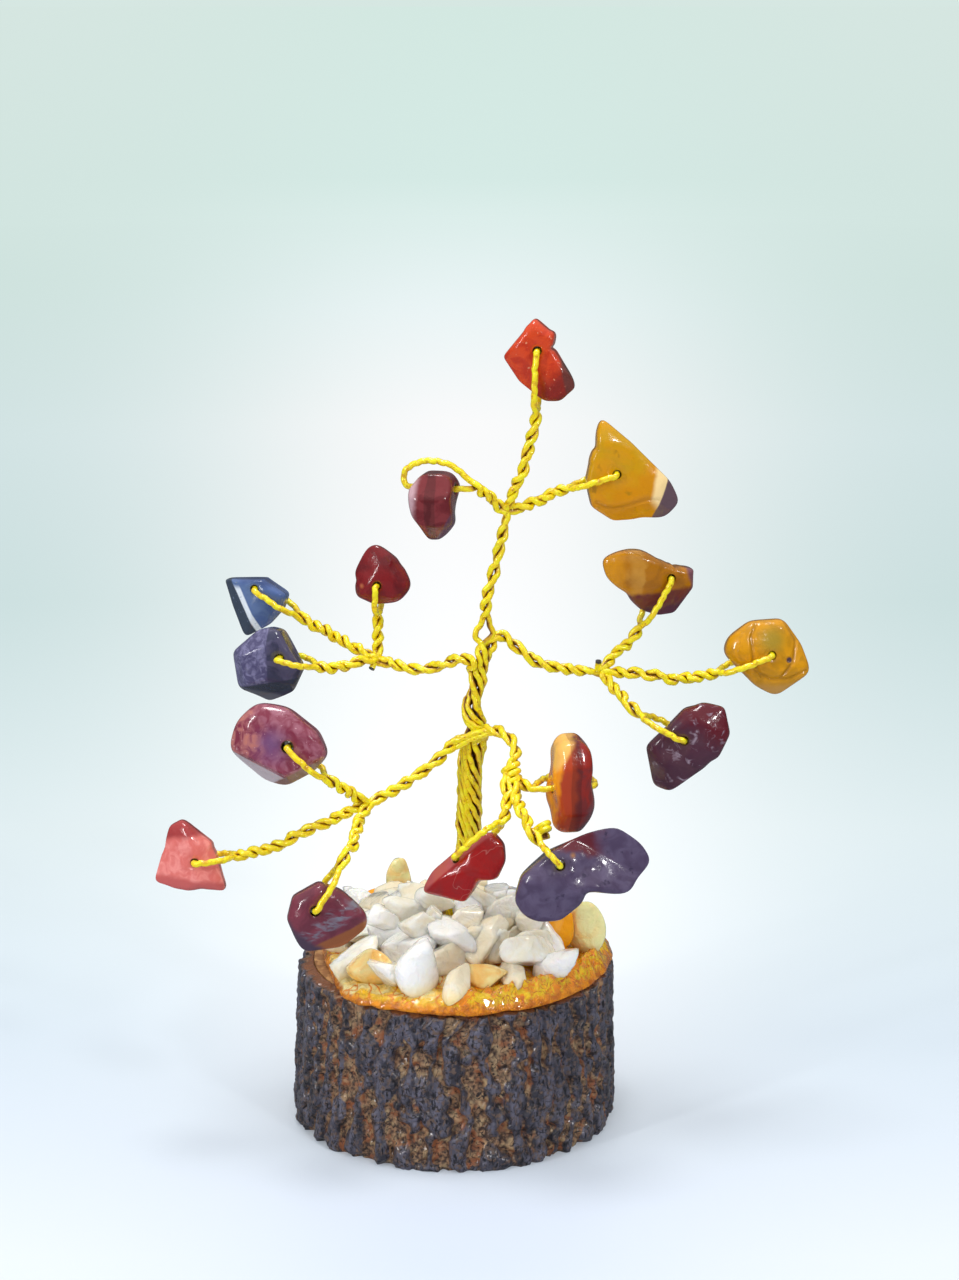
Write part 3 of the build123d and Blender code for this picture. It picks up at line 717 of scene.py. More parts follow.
def glue_finish():
    """Amber glue, wet and clear: a thin pale pour at the front left, crusted burnt orange at the right."""
    glue = Finish("amber_glue", roughness=0.12, ior=1.48, specular_ior_level=0.8, coat_weight=1.0,
                  coat_roughness=0.03)
    glue.clouds(1.3, (250, 152, 12), (204, 108, 12), high=0.60, detail=4.0, seed=2.0)
    edge = glue.tone
    glue.clouds(1.1, (255, 206, 14), (255, 146, 0), high=0.60, detail=4.0, seed=3.0, curl=1.2)
    glue.cover(glue.vein(1.9, 0.028, 6.0), 214, 108, 4)
    crust = glue.tone
    glue.clouds(3.2, (255, 240, 170), (255, 200, 40), high=0.60, detail=4.0, curl=1.0)
    glue.cover(glue.vein(3.4, 0.05, 3.0), 232, 124, 0)
    glue.cover(glue.steps(glue.mark(1), 0.10, 0.60), crust)
    lip = glue.math("ADD", glue.mark(0), glue.both(glue.noise(0.8, seed=9.0), 0.04))
    glue.cover(glue.steps(lip, 0.98, 1.01), edge)
    return glue.finished(glue.off_middle(1.1, detail=5.0, curl=1.5), 1.1)


def quartz_finish(name, clear, milky, low):
    """Quartz: one tone per stone, cloudy inside, and painted warm light low down, where the glue below would
    shine through.
    """
    stone = Finish(name, roughness=0.12, transmission_weight=0.05, ior=1.30, coat_weight=1.0,
                   coat_roughness=0.03, subsurface_weight=0.5, subsurface_scale=quartz_cloud_depth,
                   subsurface_radius=(1, 0.8, 0.6))
    cloud = stone.both(stone.patches(3.0, 0.30, 0.70, curl=1.0), 0.5)
    stone.tone = stone.mix(stone.steps(stone.math("ADD", stone.mark(0), cloud), 0.20, 1.20), seen(*clear),
                           seen(*milky))
    height = stone.add("ShaderNodeSeparateXYZ", {0: stone.where}).outputs[2]
    # Painted light: stones low down turn towards the warm colour, as light from the glue.
    stone.cover(stone.steps(height, log_height + glue_crown_height, log_height), *low)
    return stone.finished(stone.noise(1.3, 4.0, curl=0.6), 0.5, 0.9)


# Log slice

def bark_ridges(turn, height):
    """From 0 in a furrow to 1 on a ridge: upright waves that wander, and fade and swell by noise."""
    up = height / bark_ridge_length
    wander = 1.1 * ring_noise(turn, up, 16, 5) + 0.6 * ring_noise(turn, 6 * up, 100, 6)
    wave = 0.5 + 0.5 * np.cos(2 * pi * (turn * bark_ridge_count + wander))
    return eased(0.5 * wave + 0.7 * ring_noise(turn, 2.2 * up, bark_ridge_count, 7), 0.28, 0.86)


def make_bark(finish):
    """Ring of bark: radius = crest radius - furrow depth (1 - ridge) - crumbs, with top, bore and foot."""
    turn = np.linspace(0, 1, bark_columns, endpoint=False)[None, :]
    angle = 2 * pi * turn
    height = np.linspace(0, log_height, bark_rows)[:, None]
    ridge = bark_ridges(turn, height)
    up = height / bark_crumb_size
    rough = 0.65 * ring_noise(turn, up, 200, 8) + 0.35 * ring_noise(turn, 1.7 * up, 380, 9)
    wave = 0.5 * np.sin(3 * angle + 0.7) + 0.3 * np.sin(7 * angle + 2)
    edge = eased(np.abs(height - log_height / 2), log_height / 2 - bark_edge_drop, log_height / 2)
    radius = (log_crest_radius - bark_waviness * (1 + wave) - bark_furrow_depth * (1 - ridge)
              - bark_crumb_depth * rough * (1 - 0.45 * ridge) - 0.5 * bark_edge_drop * edge)
    flare = bark_flare * (0.5 + 0.5 * np.cos(angle - radians(215)))
    radius = radius * (1 - bark_taper_share * height / log_height) + flare * (1 - height / log_height)
    top = log_height - bark_edge_drop * ring_noise(turn, 0.5, 110, 10)
    top = top - bark_front_drop * eased(-np.sin(angle), 0.2, 1)
    walls = [around(radius, angle, np.minimum(height, top))]
    for share in (0.75, 0.45, 0.15):
        between = bark_bore_radius + (radius[-1:] - bark_bore_radius) * share
        walls.append(around(between, angle, top + (log_height - top) * (1 - share)))
    walls += [around(bark_bore_radius, angle, log_height), around(bark_bore_radius, angle, 0)]
    ends = np.zeros((len(walls) - 1, bark_columns))
    on_top = np.concatenate([0 * ridge, ends + 1])
    on_top[bark_rows - 2:bark_rows] = 0.4
    marks = stacked(np.concatenate([ridge, ends]), on_top, np.concatenate([1 - rough, ends + 0.5]))
    bark = Piece().add(np.concatenate(walls), marks, closed_rows=True)
    return bark.make("ribbed_bark", finish, "tree", "bark", "log_bark")


# Glue and quartz

def glue_level(radius):
    """Height of the glue's dome over the slice: its crown, less a fall by the square of the radius."""
    return glue_crown_height - (glue_crown_height - glue_edge_height) * (radius / glue_radius) ** 2


def make_glue(finish):
    """Bed of glue: a dome with lumps, an uneven edge, and a crusted ridge by its rim at the front right."""
    turn = np.linspace(0, 1, glue_columns, endpoint=False)[None, :]
    angle = 2 * pi * turn
    share = np.linspace(0, 1, glue_rows)[:, None]
    bare = eased(np.cos(angle - radians(182)), 0.70, 0.95)
    frayed = ring_noise(turn, 0.5, 80, 12)
    reach = glue_radius * (0.995 - 0.13 * bare + 0.008 * np.sin(5 * angle + 1) + 0.034 * (frayed - 0.5))
    radius = glue_bore_radius + (reach - glue_bore_radius) * share
    flat = around(radius, angle, 0)
    lumpy = 0.9 - 1.2 * np.abs(lumps(flat, glue_lump_size, 1))
    lumpy = lumpy - 0.6 * np.abs(lumps(flat, glue_lump_size / 2, 2))
    crusted = eased(np.cos(angle - radians(-38)), 0.35, 0.85)
    ridge = bell(radius - glue_radius + glue_ridge_width, glue_ridge_width) * crusted
    ridge = ridge * eased(1 - share, 0, 0.11)
    top = (log_height + glue_level(radius) + glue_lump_height * lumpy * (0.35 + ridge)
           + glue_ridge_height * ridge * (0.7 + 0.6 * frayed) - glue_edge_height * eased(share, 0.965, 1.0))
    top = np.maximum(top, glue_foot_height + glue_film)
    hem = glue_foot_height - glue_drape * (0.3 + 1.4 * frayed) * eased(-np.sin(angle), 0.2, 1)
    grid = np.concatenate([around(radius, angle, top), around(radius[-1:], angle, hem),
                           around(radius[:1], angle, glue_foot_height)])
    out = np.concatenate([share, [[1]], [[0]]])
    glue = Piece().add(grid, stacked(out, crusted, 0), closed_rows=True)
    return glue.make("amber_glue_bed", finish, "tree", "amber_glue", "glue_bed")


# Rings of loose quartz: number of stones, then in shares of the quartz's size their radius, their lift over
# the glue, their length, width and thickness
quartz_layer_shares = {
    "quartz_rim": ((17, 2.025, 0.125, 1.0, 0.6, 0.5), (14, 1.725, 0.325, 0.975, 0.575, 0.45)),
    "quartz_middle": ((12, 1.35, 0.2, 0.975, 0.625, 0.525), (8, 0.8, 0.2, 0.9, 0.6, 0.5),
                      (12, 1.35, 0.475, 0.925, 0.55, 0.425)),
    "quartz_crest": ((9, 1.0, 0.575, 0.875, 0.55, 0.425), (6, 0.625, 0.675, 0.775, 0.5, 0.375)),
    "citrine": (),
}
# Stones with their own place: (degrees round, radius, lift), lengths, (roll, pitch, yaw) in degrees, tone
own_stone_shares = {
    "quartz_rim": (((253.8, 2.0375, 0.325), (0.775, 0.625, 1.15), (-24, 6, 10), 0.9),
                   ((271, 2.225, 0.15), (0.5, 0.45, 0.85), (-34, 16, 0), 0.1)),
    "quartz_middle": (((-52, 1.875, 0.375), (1.075, 0.675, 0.6), (0, 14, 30), 0.5),),
    "quartz_crest": (((-69, 0.6625, 0.5), (0.55, 0.45, 0.75), (-20, -24, 10), 0.95),),
    "citrine": (((121, 2.0, 0.55), (0.55, 0.5, 0.7), (0, 10, 20), 0.1),
                ((128, 1.95, 0.275), (0.825, 0.6, 0.45), (0, 0, 30), 0.75),
                ((-14, 2.15, 0.475), (0.725, 0.45, 1.025), (10, -8, -20), 0.15),
                ((-20, 1.775, 0.375), (0.6, 0.45, 0.775), (0, 20, 10), 1.0),
                ((229, 2.1, 0.2), (0.85, 0.55, 0.625), (20, 0, -30), 0.40),
                ((-77, 2.0, 0.175), (0.9, 0.55, 0.375), (14, 8, 10), 0.35)),
}
taken_degrees = {"quartz_rim": (124, -16, 229, 254, 271, -77)}


def pebble(place, lengths, turns, seed, sharpness=44, fullness=0.80):
    """Broken stone, each direction cut short by planes: point = lengths d / sum(max(0, n d / r)^p)^(1/p).
    Its place is (degrees round the slice, radius, lift over the glue)."""
    chance = np.random.default_rng(seed)
    down = np.linspace(0.04, pi - 0.04, pebble_rows)[:, None]
    angle = np.linspace(0, 2 * pi, pebble_columns, endpoint=False)[None, :]
    directions = around(np.sin(down), angle, np.cos(down))
    normals = unit(chance.normal(size=(pebble_planes, 3)))
    reaches = chance.uniform(0.56, 0.95, pebble_planes)
    cut = np.maximum(directions @ normals.T / reaches, 0)
    scale = ((cut**sharpness).sum(axis=-1) + fullness**sharpness) ** (-1 / sharpness)
    body = directions * scale[..., None] * np.array(lengths) * quartz_size / 2
    degrees, radius, lift = place
    radius = radius * quartz_size
    centre = around(radius, radians(degrees), log_height + glue_level(radius) + lift * quartz_size)
    return body @ np.array(Euler(turns).to_matrix()).T + centre


def make_quartz(name, finish, slot):
    """Rings of loose stones, each turned and shifted by chance, and those with a place of their own."""
    layers = quartz_layer_shares[name]
    chance = np.random.default_rng(len(name) * 7 + len(layers))
    pile = Piece()
    seed = len(name) * 100
    for count, radius, lift, *lengths in layers:
        for k in range(count):
            degrees = 360 * (k + chance.uniform(-0.25, 0.25)) / count
            varied = np.array(lengths) * chance.uniform(0.75, 1.15, 3)
            turns = chance.uniform(-0.75, 0.75, 2)
            tone = chance.uniform(0, 1)
            crowded = any(abs((degrees - own + 180) % 360 - 180) < 7 for own in taken_degrees.get(name, ()))
            seed += 1
            if not crowded:
                fallen = 1 - back_fall_share * max(sin(radians(degrees)), 0)
                place = (degrees, radius * chance.uniform(0.95, 1.04), lift * fallen)
                pile.add(pebble(place, varied, (*turns, chance.uniform(0, pi)), seed), (tone, 0, 0))
    for place, lengths, turns, tone in own_stone_shares[name]:
        seed += 1
        pile.add(pebble(place, lengths, np.radians(turns), seed, 12, 0.98), (tone, 0, 0))
    return pile.make(name + "_stones", finish, "tree", slot, name + "_chips")


# Wire paths

def tree_point(shares):
    """Place in the tree from (x, y, z) shares of the spread and of the height over the slice."""
    return np.array(shares) * (tree_spread, tree_spread, tree_height) + (0, 0, log_height)


def lengths_along(path):
    runs = np.linalg.norm(np.diff(path, axis=0), axis=1)
    return np.concatenate([[0], np.cumsum(runs)])


def smooth_path(places, leaving, step):
    """Smooth curve through places: start (1 - e) + end e + run (head t (1 - t)^2 - next head t^2 (1 - t)),
    where e is eased t."""
    places = np.array(places)
    heads = unit(np.vstack([[leaving], places[2:] - places[:-2], [places[-1] - places[-2]]]))
    curve = [places[:1]]
    for start, end, head, next_head in zip(places, places[1:], heads, heads[1:]):
        run = np.linalg.norm(end - start)
        t = np.linspace(0, 1, int(np.ceil(run / step)) + 1)[1:, None]
        bulge = head * t * (1 - t) ** 2 - next_head * t**2 * (1 - t)
        curve.append(start * (1 - eased(t)) + end * eased(t) + run * bulge)
    return np.vstack(curve)


def carried(path, first_side):
    """Directions along a path, and side vectors square to it that turn as little as they can."""
    along = unit(np.gradient(path, axis=0))
    sides = np.empty_like(path)
    side = np.array(first_side)
    for k, direction in enumerate(along):
        side = side - direction * side.dot(direction)
        side = side / np.linalg.norm(side)
        sides[k] = side
    return along, sides


def hand_bent(middle, seed):
    """The small bends of a wire twisted by hand, none at the ends: a middle line moved by slow waves."""
    travelled = lengths_along(middle)[:, None]
    phases = np.random.default_rng(seed).uniform(0, 2 * pi, 3)
    slow = 2 * pi * travelled / wander_length
    waves = np.sin(slow + phases) + np.sin(0.37 * slow + 2 * phases)
    return middle + wire_wander * waves * np.sin(pi * travelled / travelled[-1])


def twisted_pair(middle, first_side, reach, pitch, seed):
    """Two wires, a reach to either side of a middle line, that turn once per pitch, a little unevenly."""
    along, side = carried(middle, first_side)
    travelled = lengths_along(middle)[:, None]
    uneven = 0.9 * np.sin(2 * pi * travelled / (3.3 * pitch) + seed) - 0.9 * sin(seed)
    turned = 2 * pi * travelled / pitch + uneven
    offset = (side * np.cos(turned) + np.cross(along, side) * np.sin(turned)) * reach
    return middle + offset, middle - offset


strand_offset = (wire_diameter + strand_gap) / 2
any_side = (0.3, 0.9, 0.1)


def kinked(path):
    return path + wire_kink * stacked(*(lumps(path, kink_length, seed) for seed in (1, 2, 3)))


def trunk_centre(height_share):
    """Middle of the trunk at heights over the slice: eased from one place of its line to the next."""
    table_x, table_z = np.array(trunk_line_shares).T
    k = np.clip(np.searchsorted(table_z, height_share) - 1, 0, len(table_z) - 2)
    t = eased((height_share - table_z[k]) / (table_z[k + 1] - table_z[k]))
    x_share = table_x[k] + (table_x[k + 1] - table_x[k]) * t
    return tree_point(stacked(x_share, 0, height_share))


def trunk_wire(branch, hand):
    """One wire of a pair up the trunk, and the trunk's middle: middle + radius (cos a, sin a), where a turns
    once per pitch; the top pair closes up on itself above the others."""
    start_share = (cad_wire_radius - socket_depth) / tree_height
    rise = (exit_shares[branch] - start_share) * tree_height
    height_share = np.linspace(start_share, exit_shares[branch], int(rise / (2 * control_step)))
    settled = eased((height_share - low_exit_share) / settling_share)
    low_slot = low_slots_degrees[branch] + hand * 90 / len(low_slots_degrees)
    high_slot = low_slot
    if branch in high_slots_degrees:
        high_slot = high_slots_degrees[branch] + hand * 90 / len(high_slots_degrees)
    pitch = np.where(height_share < low_exit_share, trunk_low_pitch, trunk_high_pitch)
    turned = -360 * (height_share - low_exit_share) * tree_height / pitch
    stray = trunk_stray_degrees * np.sin(height_share * 60 + low_slot) * eased(height_share * 8)
    angle = np.radians(low_slot + settled * (high_slot - low_slot) + turned + stray)
    radius = trunk_low_radius + settled * (trunk_high_radius - trunk_low_radius)
    if branch == "top":
        alone = eased((height_share - exit_shares["right"]) / closing_share)
        angle = angle + alone * hand * (pi / 2 - radians(90 / len(high_slots_degrees)))
        radius = radius + alone * (strand_offset - radius)
    radius = radius + trunk_stray * np.sin(height_share * 47 + 2 * low_slot + hand) * eased(height_share * 8)
    centre = trunk_centre(height_share)
    middle_share, half_share, bow_share = trunk_bow_shares[branch]
    bowed = np.cos(pi / 2 * np.clip((height_share - middle_share) / half_share, -1, 1)) ** 2
    path = centre + around(radius, angle, 0)
    path[:, 0] += bow_share * wire_diameter * bowed * (1 if hand > 0 else 0.6)
    return path, centre


@dataclass
class Seat:
    """Where a chip hangs: its hole's middle, its axes (x, y, hole) as rows, its size and its outline."""

    origin: np.ndarray
    axes: np.ndarray
    length: float
    thickness: float
    reach: np.ndarray


def polygon_reach(corners, angle):
    """Distance from the middle to a closed outline of corners along each angle."""
    bearing = np.arctan2(corners[:, 1], corners[:, 0])
    corners = corners[np.argsort(bearing)]
    bearing = np.sort(bearing)
    after = np.searchsorted(bearing, wrapped(angle)) % len(corners)
    x, y = corners[after - 1].T
    run_x, run_y = (corners[after] - corners[after - 1]).T
    return (x * run_y - y * run_x) / (np.cos(angle) * run_y - np.sin(angle) * run_x)


seat_angles = np.linspace(0, 2 * pi, outline_stations, endpoint=False)


def chip_seat(stone):
    """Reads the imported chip: its hinge gives the hole, and its widest section the outline."""
    joint = next(joint for joint in frame["joints"] if joint["name"] == stone.name + "_swing")
    axis = unit(np.array(joint["axis"]))
    level = unit(np.array((-axis[1], axis[0], 0)))
    axes = np.array((level, np.cross(axis, level), axis))
    mesh = frame["nodes"][stone.name + "_chip"].data
    places = np.empty(len(mesh.vertices) * 3, np.float32)
    mesh.vertices.foreach_get("co", places)
    local = (places.reshape(-1, 3) - np.array(joint["pos_m"])) @ axes.T
    thickness = np.ptp(local[:, 2])
    off_section = np.abs(local[:, 2] - section_height_share * thickness)
    widest = local[off_section < section_band_share * thickness]
    off_hole = widest[np.hypot(widest[:, 0], widest[:, 1]) > 1.5 * hole_radius]
    corners = np.unique(np.round(off_hole[:, :2], 6), axis=0)
    reach = polygon_reach(corners, seat_angles)
    thickness = thickness * stone.thickness_gain
    return Seat(np.array(joint["pos_m"]), axes, np.ptp(corners, axis=0).max(), thickness, reach), joint


def loop_controls(stone, seat, swing_degrees):
    """Turning points of the wire through a chip, from one side of its neck to the other."""
    angle = radians(stone.neck_angle)
    toward = np.array((cos(angle), sin(angle), 0))
    facing = np.array((0, 0, 1))
    spread = radians(swing_degrees + neck_spread_degrees)
    swept = np.abs(wrapped(seat_angles - angle)) <= spread
    reach = seat.reach[swept].max()
    out = seat.thickness / 2 + face_gap + wire_diameter / 2
    inner = out - hole_bend
    if stone.beside:
        crossing = reach + crossing_room
        neck = out + neck_run
        turns = ((0, neck), (0, -inner), (hole_bend, -out), (0.62 * crossing, -out - hole_bend),
                 (1.04 * crossing, -0.62 * out), (1.12 * crossing, -0.05 * out),
                 (0.98 * crossing, 0.62 * out), (0.50 * crossing, out + hole_bend), (2 * strand_offset, neck))
    else:
        end = reach + neck_room
        turns = ((end, strand_offset), (end - neck_run, out), (hole_bend, out), (0, inner), (0, -inner),
                 (hole_bend, -out), (end - neck_run, -out), (end, -strand_offset))
    controls = [toward * outwards + facing * forwards for outwards, forwards in turns]
    return np.array(controls) @ seat.axes + seat.origin, (facing if stone.beside else toward) @ seat.axes


def stem_controls(stone, seat, joint, junction):
    """Control points of a stem's wire, from the junction out along one strand, through the chip and back."""
    loop, leaving = loop_controls(stone, seat, joint["range_deg"][1])
    neck = (loop[0] + loop[-1]) / 2
    end = junction - unit(junction - neck) * junction_room
    middle = hand_bent(smooth_path([neck, end], leaving, control_step), len(stone.name))
    first, second = twisted_pair(middle, loop[0] - neck, strand_offset, stem_pitch, len(stone.name))
    path = np.vstack([first[:0:-1], loop, second[1:]])
    middles = np.vstack([middle[:0:-1], loop, middle[1:]])
    return path, middles


def rounded(controls):
    """Smooth curve pulled along by control points, a quadratic B-spline: (1-t)^2 m + 2 t (1-t) p + t^2 n."""
    halfway = (controls[1:] + controls[:-1])[:, None] / 2
    t = np.linspace(0, 1, rounding_steps, endpoint=False)[None, :, None]
    runs = (1 - t) ** 2 * halfway[:-1] + 2 * t * (1 - t) * controls[1:-1, None] + t**2 * halfway[1:]
    return np.vstack([controls[:1], runs.reshape(-1, 3), controls[-1:]])


def tube(path, middles, radius):
    """Round wire along a path: ring = point + radius (side cos a + across sin a), each point marked with how
    squarely it faces the middle of its bundle."""
    along, sides = carried(path, any_side)
    across = np.cross(along, sides)
    angle = np.linspace(0, 2 * pi, wire_sides, endpoint=False)[None, :, None]
    normals = sides[:, None] * np.cos(angle) + across[:, None] * np.sin(angle)
    inward = middles - path
    distance = np.linalg.norm(inward, axis=1, keepdims=True)
    inward = inward / np.maximum(distance, wire_diameter / 4)
    return path[:, None] + normals * radius, (normals * inward[:, None]).sum(axis=-1)


def parted(path, hand):
    """A wire bowed aside where the trunk ends, so that it and its neighbour leave an eye between them."""
    height_share = (path[:, 2] - log_height) / tree_height
    through = np.clip((height_share - eye_foot_share) / (eye_head_share - eye_foot_share), 0, 1)
    return path + stacked(hand * eye_width * np.sin(pi * through) ** 1.3, 0, 0)


def clipped_end(place, direction, bundle):
    """A short end of wire that was cut off beside the twist: a little bent tube with a dark tip."""
    t = np.linspace(0, 1, clipped_stations)[:, None]
    bend = np.array((0, 0, clipped_rise_share))
    path = tree_point(place) + clipped_length * (np.array(direction) * t + bend * t**2)
    rings, _ = tube(path, path, wire_diameter / 2)
    bundle.add(rings, stacked(0, t > 0.8, 0))


def wound_coil(start, end, turns, bundle):
    """A wire wound round a twist from start to end: middle + uneven radius (side cos a + across sin a)."""
    t = np.linspace(0, 1, turns * coil_stations)[:, None]
    middle = tree_point(start) * (1 - t) + tree_point(end) * t
    along, side = carried(middle, any_side)
    angle = 2 * pi * turns * t
    radius = 2 * strand_offset * (1 + coil_unevenness_share * np.sin(5 * angle / 3))
    path = middle + radius * (side * np.cos(angle) + np.cross(along, side) * np.sin(angle))
    rings, inward_shade = tube(path, middle, trunk_wire_diameter / 2)
    bundle.add(rings, stacked(inward_shade, 0, 0))


def crossing_strand(rise_share, bundle):
    """A wire laid over the trunk from one branch to another: start (1-t)^2 + 2 middle t (1-t) + end t^2."""
    start, middle, end = (tree_point(place) for place in
                          np.array(crossing_shares) + np.outer((1, 1, 1 / 3), (0, 0, rise_share)))
    t = np.linspace(0, 1, crossing_stations)[:, None]
    path = start * (1 - t) ** 2 + 2 * middle * t * (1 - t) + end * t**2
    rings, _ = tube(kinked(path), middle[None], trunk_wire_diameter / 2)
    bundle.add(rings, (0, 0, 0))


def folded_wire(branch, seats):
    """The one wire of a branch as (piece, path, middle line) stretches: up the trunk, along the branch, out
    to each of its three chips and back, and down again."""
    ups = [trunk_wire(branch, hand) for hand in (1, -1)]
    start = (ups[0][0][-1] + ups[1][0][-1]) / 2
    leaving = ups[0][0][-1] + ups[1][0][-1] - ups[0][0][-2] - ups[1][0][-2]
    places = [start, *tree_point(branch_routes_shares[branch])]
    junction = places[-1]
    places[-1] = junction - unit(junction - places[-2]) * junction_room
    middle = smooth_path(places, leaving, control_step)
    side = ups[0][0][-1] - start
    travelled = lengths_along(middle)[:, None]
    parting = 1 - eased(travelled, 0, 3 * strand_offset)
    reach = strand_offset + (np.linalg.norm(side) - strand_offset) * parting
    first, second = twisted_pair(middle, side, reach, branch_pitch, 0.0)
    if branch == "top":
        hand = np.sign(ups[0][0][-1, 0] - ups[1][0][-1, 0])
        ups = [(parted(path, way * hand), centre) for way, (path, centre) in zip((1, -1), ups)]
        first, second = parted(first, hand), parted(second, -hand)
    trunk, twig = "trunk_wires_" + branch, "branch_" + branch
    ahead, up = carried(np.array([places[-2], junction]), (0.1, 0.2, 1.0))
    lifts = (np.zeros(3), up[0], np.cross(ahead[0], up[0]), -up[0])
    knots = [(junction + lift * strand_offset)[None] for lift in lifts]
    stretches = [(trunk, *ups[0]), (twig, first[1:], middle[1:]), (twig, knots[0], knots[0])]
    for knot, stone in zip(knots[1:], [stone for stone in stones if stone.branch == branch]):
        stem = stem_controls(stone, *seats[stone.name], junction)
        stretches += [(stone.name + "_stem", *stem), (twig, knot, knot)]
    stretches += [(twig, second[:0:-1], middle[:0:-1]), (trunk, ups[1][0][::-1], ups[1][1][::-1])]
    return stretches


def lay_wire(stretches, pieces):
    """Rounds and evens out a folded wire, carries a round section along it, and cuts it into its pieces."""
    controls = np.vstack([path for _, path, _ in stretches])
    bundle = np.vstack([middles for _, _, middles in stretches])
    owners = [name for name, path, _ in stretches for _ in path]
    fine = rounded(controls)
    fine_bundle = rounded(bundle)
    travelled = lengths_along(fine)
    stations = np.linspace(0, travelled[-1], int(travelled[-1] / station_step))
    at = np.interp(stations, travelled, np.arange(len(fine)))
    path = kinked(stacked(*(np.interp(stations, travelled, fine[:, k]) for k in range(3))))
    middles = stacked(*(np.interp(at, np.arange(len(fine)), fine_bundle[:, k]) for k in range(3)))
    owner = [owners[min(int(place / rounding_steps + 0.5), len(owners) - 1)] for place in at]
    blend = np.ones(blend_stations) / blend_stations
    in_trunk = np.convolve([name.startswith("trunk") for name in owner], blend, mode="same")
    radius = (wire_diameter + (trunk_wire_diameter - wire_diameter) * in_trunk) / 2
    rings, inward_shade = tube(path, middles, radius[:, None, None])
    below_eye = eased(eye_foot_share - (path[:, 2] - log_height) / tree_height, 0, closing_share)
    # Painted shade: below the eye the trunk's wires are marked further inward, so more of each is painted
    # olive brown.
    inward_shade = inward_shade + trunk_groove_shade_share * (in_trunk * below_eye)[:, None]
    marks = stacked(inward_shade, 0, 0)
    cuts = [0, *[k for k in range(1, len(owner)) if owner[k] != owner[k - 1]], len(owner)]
    for low, high in zip(cuts, cuts[1:]):
        high = min(high + 1, len(owner))
        pieces.setdefault(owner[low], Piece()).add(rings[low:high], marks[low:high])


# Chips

def softened(reach, degrees):
    """A closed outline with its corners worn: its waves are damped by exp(-(k s)^2 / 2)."""
    waves = np.fft.rfft(reach)
    order = np.arange(len(waves))
    return np.fft.irfft(waves * np.exp(-((order * radians(degrees)) ** 2) / 2), len(reach))


def dented(reach, dents):
    """An outline with dents and bulges: reach (1 + sum of share exp(-(turn / width)^2))."""
    change = np.ones_like(reach)
    for degrees, share, width in dents:
        change = change + share * bell(wrapped(seat_angles - radians(degrees)), radians(width))
    return reach * change


def crease_nearness(x, y, stone):
    """1 on the stone's crease lines and in its pits, 0 away from them; x and y in shares of its length."""
    near = np.zeros_like(x)
    for line in stone.creases:
        for (x_start, y_start), (x_end, y_end) in zip(line, line[1:]):
            run_x, run_y = x_end - x_start, y_end - y_start
            along = np.clip(((x - x_start) * run_x + (y - y_start) * run_y) / (run_x**2 + run_y**2), 0, 1)
            far = np.hypot(x - x_start - along * run_x, y - y_start - along * run_y)
            near = np.maximum(near, bell(far, crease_width_share))
    for x_pit, y_pit, size in stone.pits:
        near = np.maximum(near, eased(size + crease_width_share - np.hypot(x - x_pit, y - y_pit), 0, size))
    return near


def ground_face(x, y, seat, facets):
    """Share of the half thickness that is left: the soft least of 1 and each 1 - (d - start) tan(tilt)."""
    half = seat.thickness / 2
    planes = [np.ones_like(x)]
    for degrees, start, tilt in facets:
        distance = x * cos(radians(degrees)) + y * sin(radians(degrees)) - start * seat.length
        planes.append(1 - distance * np.tan(radians(tilt)) / half)
    worn = -facet_softness * np.log(sum(np.exp(-plane / facet_softness) for plane in planes))
    return np.clip(worn, 0.06, 1)


def make_chip(stone, seat):
    """Tumbled chip: reach = hole + (outline - hole) sin(a)^(2/p), height = half thickness cos(a)^(2/p) times
    what the facets leave, on both faces, joined through the bore."""
    angle = np.linspace(0, 2 * pi, chip_columns, endpoint=False)[None, :]
    outline = dented(softened(seat.reach, outline_wear_degrees * stone.wear), stone.dents)
    outline = np.interp(angle, seat_angles, outline, period=2 * pi)
    a = (np.linspace(0, 1, chip_rows) ** 0.85)[:, None] * pi / 2
    bore_radius = hole_radius * stone.hole_gain
    lip = bore_radius + hole_lip
    reach = lip + (outline - lip) * np.sin(a) ** (2 / stone.fullness)
    dome = np.cos(a) ** (2 / stone.fullness) * seat.thickness / 2
    x = reach * np.cos(angle)
    y = reach * np.sin(angle)
    seed = len(stone.name) + int(abs(stone.neck_angle))
    bulge = lumps(stacked(x, y, 0), stone.lump_size_share * seat.length, seed)
    crease = crease_nearness(x / seat.length, y / seat.length, stone)
    front = ground_face(x, y, seat, stone.facets) * (1 + stone.lumpiness * (bulge - 0.8))
    front = dome * np.maximum(front - crease_depth_share * crease, 0.04)
    back = -dome * ground_face(x, y, seat, stone.back_facets) * (1 + stone.lumpiness * (-bulge - 0.8))
    bore = [around(bore_radius, angle, height) for height in
            (back[0] + hole_lip, 0.5 * (back[0] + front[0]), front[0] - hole_lip)]
    local = np.concatenate([stacked(x, y, front), stacked(x, y, back)[-2::-1], *bore])
    marks = local / (seat.length, seat.length, seat.thickness / 2)
    chip = Piece().add(local @ seat.axes + seat.origin, marks, closed_rows=True)
    # Painted shade: a little in the creases and pits, more round the edge wall, full in the bore.
    dark = np.zeros(local.shape[:2])
    dark[:chip_rows] = 0.2 * crease
    dark[chip_rows - 4:chip_rows + 3] += wall_shade_share
    dark[-3:] = 1
    node = stone.name + "_chip"
    piece = chip.make(stone.name + "_gem", stone_finish(stone.name), node, stone.name + "_stone", node)
    mark = piece.data.attributes.new("dark", "FLOAT", "POINT")
    mark.data.foreach_set("value", dark.astype(np.float32).ravel())
    return piece


# Stage

